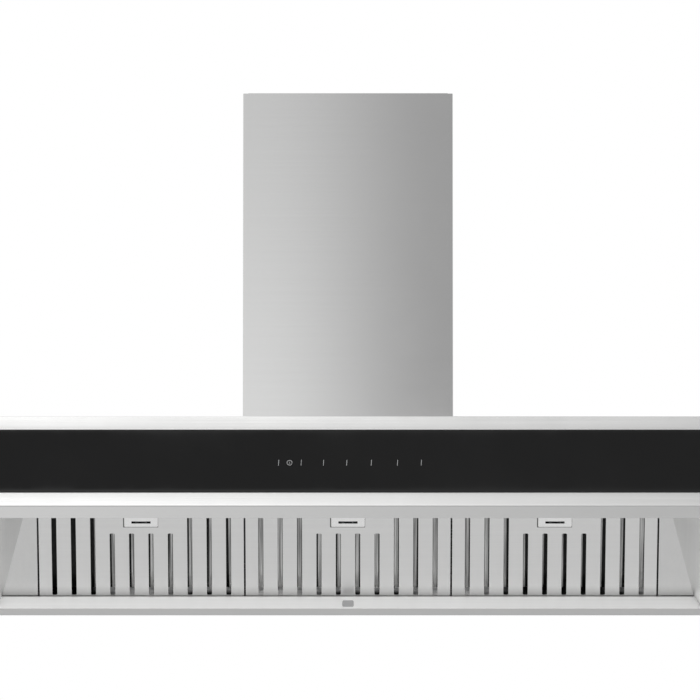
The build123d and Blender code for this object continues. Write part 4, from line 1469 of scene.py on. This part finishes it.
@dataclass(frozen=True)
class ScrewSet:
    """Dome-headed screws with a cross recess, in the places of a CAD node's screws."""

    node: str
    name: str
    head_radius: float = 0.004
    head_height: float = 0.002
    head_facets: int = 40
    dome: float = 0.0011
    dome_steps: int = 5
    shank_radius: float = 0.0019
    shank_length: float = 0.005
    recess_length: float = 0.0046
    recess_width: float = 0.0011
    recess_depth: float = 0.0012
    reach: float = 0.02

    def _places(self) -> list[Vector]:
        """Read the screws' places from the CAD node's own solids.

        Returns:
            Each screw's seat on the panel.
        """
        groups: list[list[Vector]] = []
        for vertex in frame["nodes"][self.node].data.vertices:
            home = next((g for g in groups if (g[0] - vertex.co).length < self.reach), None)
            if home is None:
                groups.append([vertex.co.copy()])
            else:
                home.append(vertex.co.copy())
        places = []
        for group in groups:
            xs, zs = [p.x for p in group], [p.z for p in group]
            seat = max(p.y for p in group) - self.head_height
            places.append(Vector(((min(xs) + max(xs)) / 2, seat, (min(zs) + max(zs)) / 2)))
        return places

    def _recess(self, screw: Piece) -> None:
        """Cut the cross recess into a screw's head, one blade at a time.

        Args:
            screw: The screw.
        """
        for turn in (0.0, QUARTER_TURN):
            blade = Bench.start(
                bpy.ops.mesh.primitive_cube_add, size=1.0, location=(0, 0, self.head_height)
            )
            size = (self.recess_length, self.recess_width, 2 * self.recess_depth)
            Bench.settle(blade, scale=size, rotation_euler=(0.0, 0.0, turn))
            Bench.apply(screw, "BOOLEAN", operation="DIFFERENCE", object=blade, solver="EXACT")
            bpy.data.objects.remove(blade)

    def _screw(self) -> Piece:
        """Model one screw at the origin, its head to the rear.

        Returns:
            The screw.
        """
        screw = Bench.start(
            bpy.ops.mesh.primitive_cylinder_add, vertices=self.head_facets,
            radius=self.head_radius, depth=self.head_height, location=(0, 0, self.head_height / 2),
        )
        Bench.settle(screw)
        Bench.choose_faces(screw, DOWN)
        bpy.ops.mesh.inset(thickness=self.head_radius - self.shank_radius)
        shank = {"value": (0, 0, -self.shank_length)}
        bpy.ops.mesh.extrude_region_move(TRANSFORM_OT_translate=shank)
        Bench.choose_faces(screw, UP)
        bpy.ops.mesh.bevel(offset=self.dome, segments=self.dome_steps)
        Bench.done()
        self._recess(screw)
        Bench.settle(screw, rotation_euler=(-QUARTER_TURN, 0.0, 0.0))
        return screw

    def build(self, rig: Rig) -> None:
        """Model one screw, copy it to every place and hand the set over.

        Args:
            rig: Takes the finished pieces.
        """
        first = self._screw()
        copies = [Bench.copy(first, place) for place in self._places()]
        bpy.data.objects.remove(first)
        for piece in copies:
            Bench.settle(piece)
        screws = Bench.join(copies, self.name)
        rig.hand_over(screws, Body.CANOPY, Finish.ZINC, self.node)


# Studio


@dataclass(frozen=True)
class Floor:
    """Pale floor that is clear from underneath and thins out far from the hood."""

    name: str = "studio_floor"
    level: float = -2.4
    half: float = 14.0
    colour: Colour = (0.80, 0.80, 0.80)
    mottle: float = 0.01
    roughness: float = 0.8
    fade: Range = (1.6, 4.2)

    def _gone(self, shader: Shader) -> Socket:
        """Mask the floor's underside, and for the camera what is far from the hood.

        Args:
            shader: The material in the making.

        Returns:
            The mask, from 0 to 1.
        """
        away = shader.add("VectorMath", operation="LENGTH")
        shader.join(shader.place, away.inputs[0])
        far = shader.spread(away.outputs["Value"], self.fade, ease=Ease.SMOOTH)
        far = shader.times(far, shader.add("LightPath").outputs["Is Camera Ray"])
        return shader.combine("MAXIMUM", shader.add("NewGeometry").outputs["Backfacing"], far)

    def build(self) -> None:
        """Lay the floor."""
        floor = Bench.start(
            bpy.ops.mesh.primitive_plane_add, size=2 * self.half, location=(0, 0, self.level)
        )
        floor.name = self.name
        shader = Shader(self.name)
        mottle = shader.noise(shader.place, scale=3.0, detail=2.0, rough=0.5)
        shader.feed("Base Color", shader.toned(mottle, self.colour, about(1.0, self.mottle)))
        shader.set(shader.surface, Roughness=self.roughness)
        mix, clear = shader.add("MixShader"), shader.add("BsdfTransparent")
        parts = (self._gone(shader), shader.surface.outputs["BSDF"], clear.outputs["BSDF"])
        for value, target in zip(parts, mix.inputs):
            shader.join(value, target)
        shader.show(mix.outputs["Shader"])
        floor.data.materials.append(shader.material)


@dataclass(frozen=True)
class Card:
    """Glowing card, graded from its left to its right, that only reflections show."""

    name: str
    middle: Point
    size: Range
    edges: Range
    levels: Range
    turn: Point = (0.0, 0.0, 0.0)

    def glow(self, shader: Shader) -> Socket:
        """Return how strongly the card glows at each place."""
        return shader.spread(shader.axes(shader.place)["X"], self.edges, self.levels)

    def build(self) -> None:
        """Set the card up and hide it from all but reflections."""
        card = Bench.start(bpy.ops.mesh.primitive_plane_add, size=1.0, location=self.middle)
        card.name = self.name
        Bench.settle(card, scale=(*self.size, 1.0), rotation_euler=self.turn)
        shader = Shader(self.name)
        light = shader.add("Emission")
        shader.join(self.glow(shader), light.inputs["Strength"])
        shader.show(light.outputs["Emission"])
        shader.tree.nodes.remove(shader.surface)
        card.data.materials.append(shader.material)
        card.visible_camera = False
        card.visible_diffuse = False
        card.visible_shadow = False
        card.visible_transmission = False


@dataclass(frozen=True)
class Wall(Card):
    """Card in front of the hood, graded for its chimney, its glass and its two steel strips.

    The plain grading is the upper strip's.
    """

    name: str = "reflection_wall"
    middle: Point = (0.0, -0.78, -0.15)
    size: Range = (2.6, 1.7)
    edges: Range = (-0.50, 0.60)
    levels: Range = (1.54, 0.88)
    turn: Point = (-QUARTER_TURN, 0.0, 0.0)
    lower_levels: Range = (1.52, 0.80)
    strip_split: Range = (-0.54, -0.56)
    strips_top: Range = (-0.435, -0.447)
    chimney_heights: Range = (-0.36, 0.15)
    chimney_levels: Range = (1.17, 0.95)
    chimney_edges: Range = (-0.165, 0.175)
    chimney_dim: float = 0.55
    glass_bottom: Range = (-0.605, -0.601)
    glass_top: Range = (-0.501, -0.497)
    glass_level: float = 0.45

    def glow(self, shader: Shader) -> Socket:
        """Grade the card's light.

        Args:
            shader: The material in the making.

        Returns:
            How strongly the card glows at each place.
        """
        place = shader.axes(shader.place)
        across, up = place["X"], place["Z"]
        bright = shader.spread(up, self.chimney_heights, self.chimney_levels)
        near = shader.spread(across, self.chimney_edges, FALLING, Ease.SMOOTH)
        far = shader.spread(near, UNIT, (self.chimney_dim, 0.0))
        chimney = shader.combine("ADD", shader.times(bright, near), far)
        upper, lower = (
            shader.spread(across, self.edges, levels)
            for levels in (self.levels, self.lower_levels)
        )
        strips = shader.fade(shader.spread(up, self.strip_split), upper, lower)
        front = shader.fade(shader.spread(up, self.strips_top), chimney, strips)
        under_top = shader.spread(up, self.glass_top, FALLING)
        glass = shader.times(under_top, shader.spread(up, self.glass_bottom))
        return shader.fade(glass, front, self.glass_level)


@dataclass(frozen=True)
class Studio:
    """World light, floor, reflection cards, lamps and the camera.

    The sweep lies over the floor behind, lighter on the left, for the canopy's lip to reflect.
    """

    floor: Floor = Floor()
    wall: Wall = Wall()
    sweep: Card = Card(
        "reflection_sweep", middle=(0.0, 6.6, -2.3), size=(6.0, 6.6), edges=(-0.6, 0.6),
        levels=(0.765, 0.57),
    )
    ambient: float = 0.72
    key_strength: float = 0.6
    key_angle: float = math.radians(100)
    key_turn: Point = (math.radians(48), 0.0, math.radians(-38))
    strip_power: float = 10.5
    strip_size: Range = (2.4, 0.6)
    strip_place: Point = (0.0, -2.4, -1.12)
    strip_aim: Point = (0.0, 0.285, -0.755)
    camera_target: Point = (0.00335, 0.0, -0.3976)
    camera_rise: float = math.radians(16.64)
    camera_lens: float = 1650.0
    camera_reach: float = 4.0
    sensor: float = 36.0
    picture_width: float = 1.16993

    def world(self) -> None:
        """Light the object softly, white to the camera and in metal and glass."""
        world = bpy.data.worlds.new("studio_world")
        bpy.context.scene.world = world
        world.use_nodes = True
        tree = NodeTree(world.node_tree)
        path = tree.add("LightPath").outputs
        seen = tree.combine("MAXIMUM", path["Is Camera Ray"], path["Is Glossy Ray"])
        seen = tree.combine("MAXIMUM", seen, path["Is Transmission Ray"])
        level = tree.spread(seen, UNIT, (self.ambient, 1.0))
        sky = tree.set(tree.add("Background"), Color=rgba(WHITE))
        tree.join(level, sky.inputs["Strength"])
        output = tree.add("OutputWorld")
        tree.join(sky.outputs["Background"], output.inputs["Surface"])

    def lamps(self) -> None:
        """Hang a broad key from the front left and a low strip for the tray."""
        key = Bench.start(bpy.ops.object.light_add, type="SUN", rotation=self.key_turn)
        key.name = "key_light"
        key.data.energy, key.data.angle = self.key_strength, self.key_angle
        strip = Bench.start(bpy.ops.object.light_add, type="AREA", location=self.strip_place)
        strip.name = "strip_light"
        strip.data.energy, strip.data.shape = self.strip_power, "RECTANGLE"
        strip.data.size, strip.data.size_y = self.strip_size
        gaze = Vector(self.strip_aim) - Vector(self.strip_place)
        strip.rotation_euler = gaze.to_track_quat("-Z", "Y").to_euler()

    def camera(self) -> None:
        """Set the photograph's view: from the front, looking up."""
        camera = Bench.start(bpy.ops.object.camera_add)
        camera.name = "photo_camera"
        camera.data.lens = self.camera_lens
        camera.data.sensor_width = self.sensor
        distance = self.picture_width * self.camera_lens / self.sensor
        camera.data.clip_end = self.camera_reach * distance
        gaze = Vector((0.0, math.cos(self.camera_rise), math.sin(self.camera_rise)))
        camera.location = Vector(self.camera_target) - gaze * distance
        camera.rotation_euler = gaze.to_track_quat("-Z", "Y").to_euler()
        bpy.context.scene.camera = camera

    def build(self) -> None:
        """Set up the whole studio."""
        bpy.context.scene.view_settings.view_transform = "Standard"
        self.world()
        for part in (self.floor, self.wall, self.sweep):
            part.build()
        self.lamps()
        self.camera()


def main() -> None:
    """Dress the frame, model the added pieces and set up the studio."""
    logging.basicConfig(level=logging.INFO, format="%(message)s")
    wardrobe = Wardrobe()
    wardrobe.dress_frame()
    rig = Rig(wardrobe)
    TouchPanel().build(rig)
    LampLenses().build(rig)
    LatchSprings().build(rig)
    ScrewSet("panel_screws", "panel_screw_set").build(rig)
    ScrewSet("chimney_screws", "chimney_screw_set").build(rig)
    Studio().build()


if __name__ == "__main__":
    main()
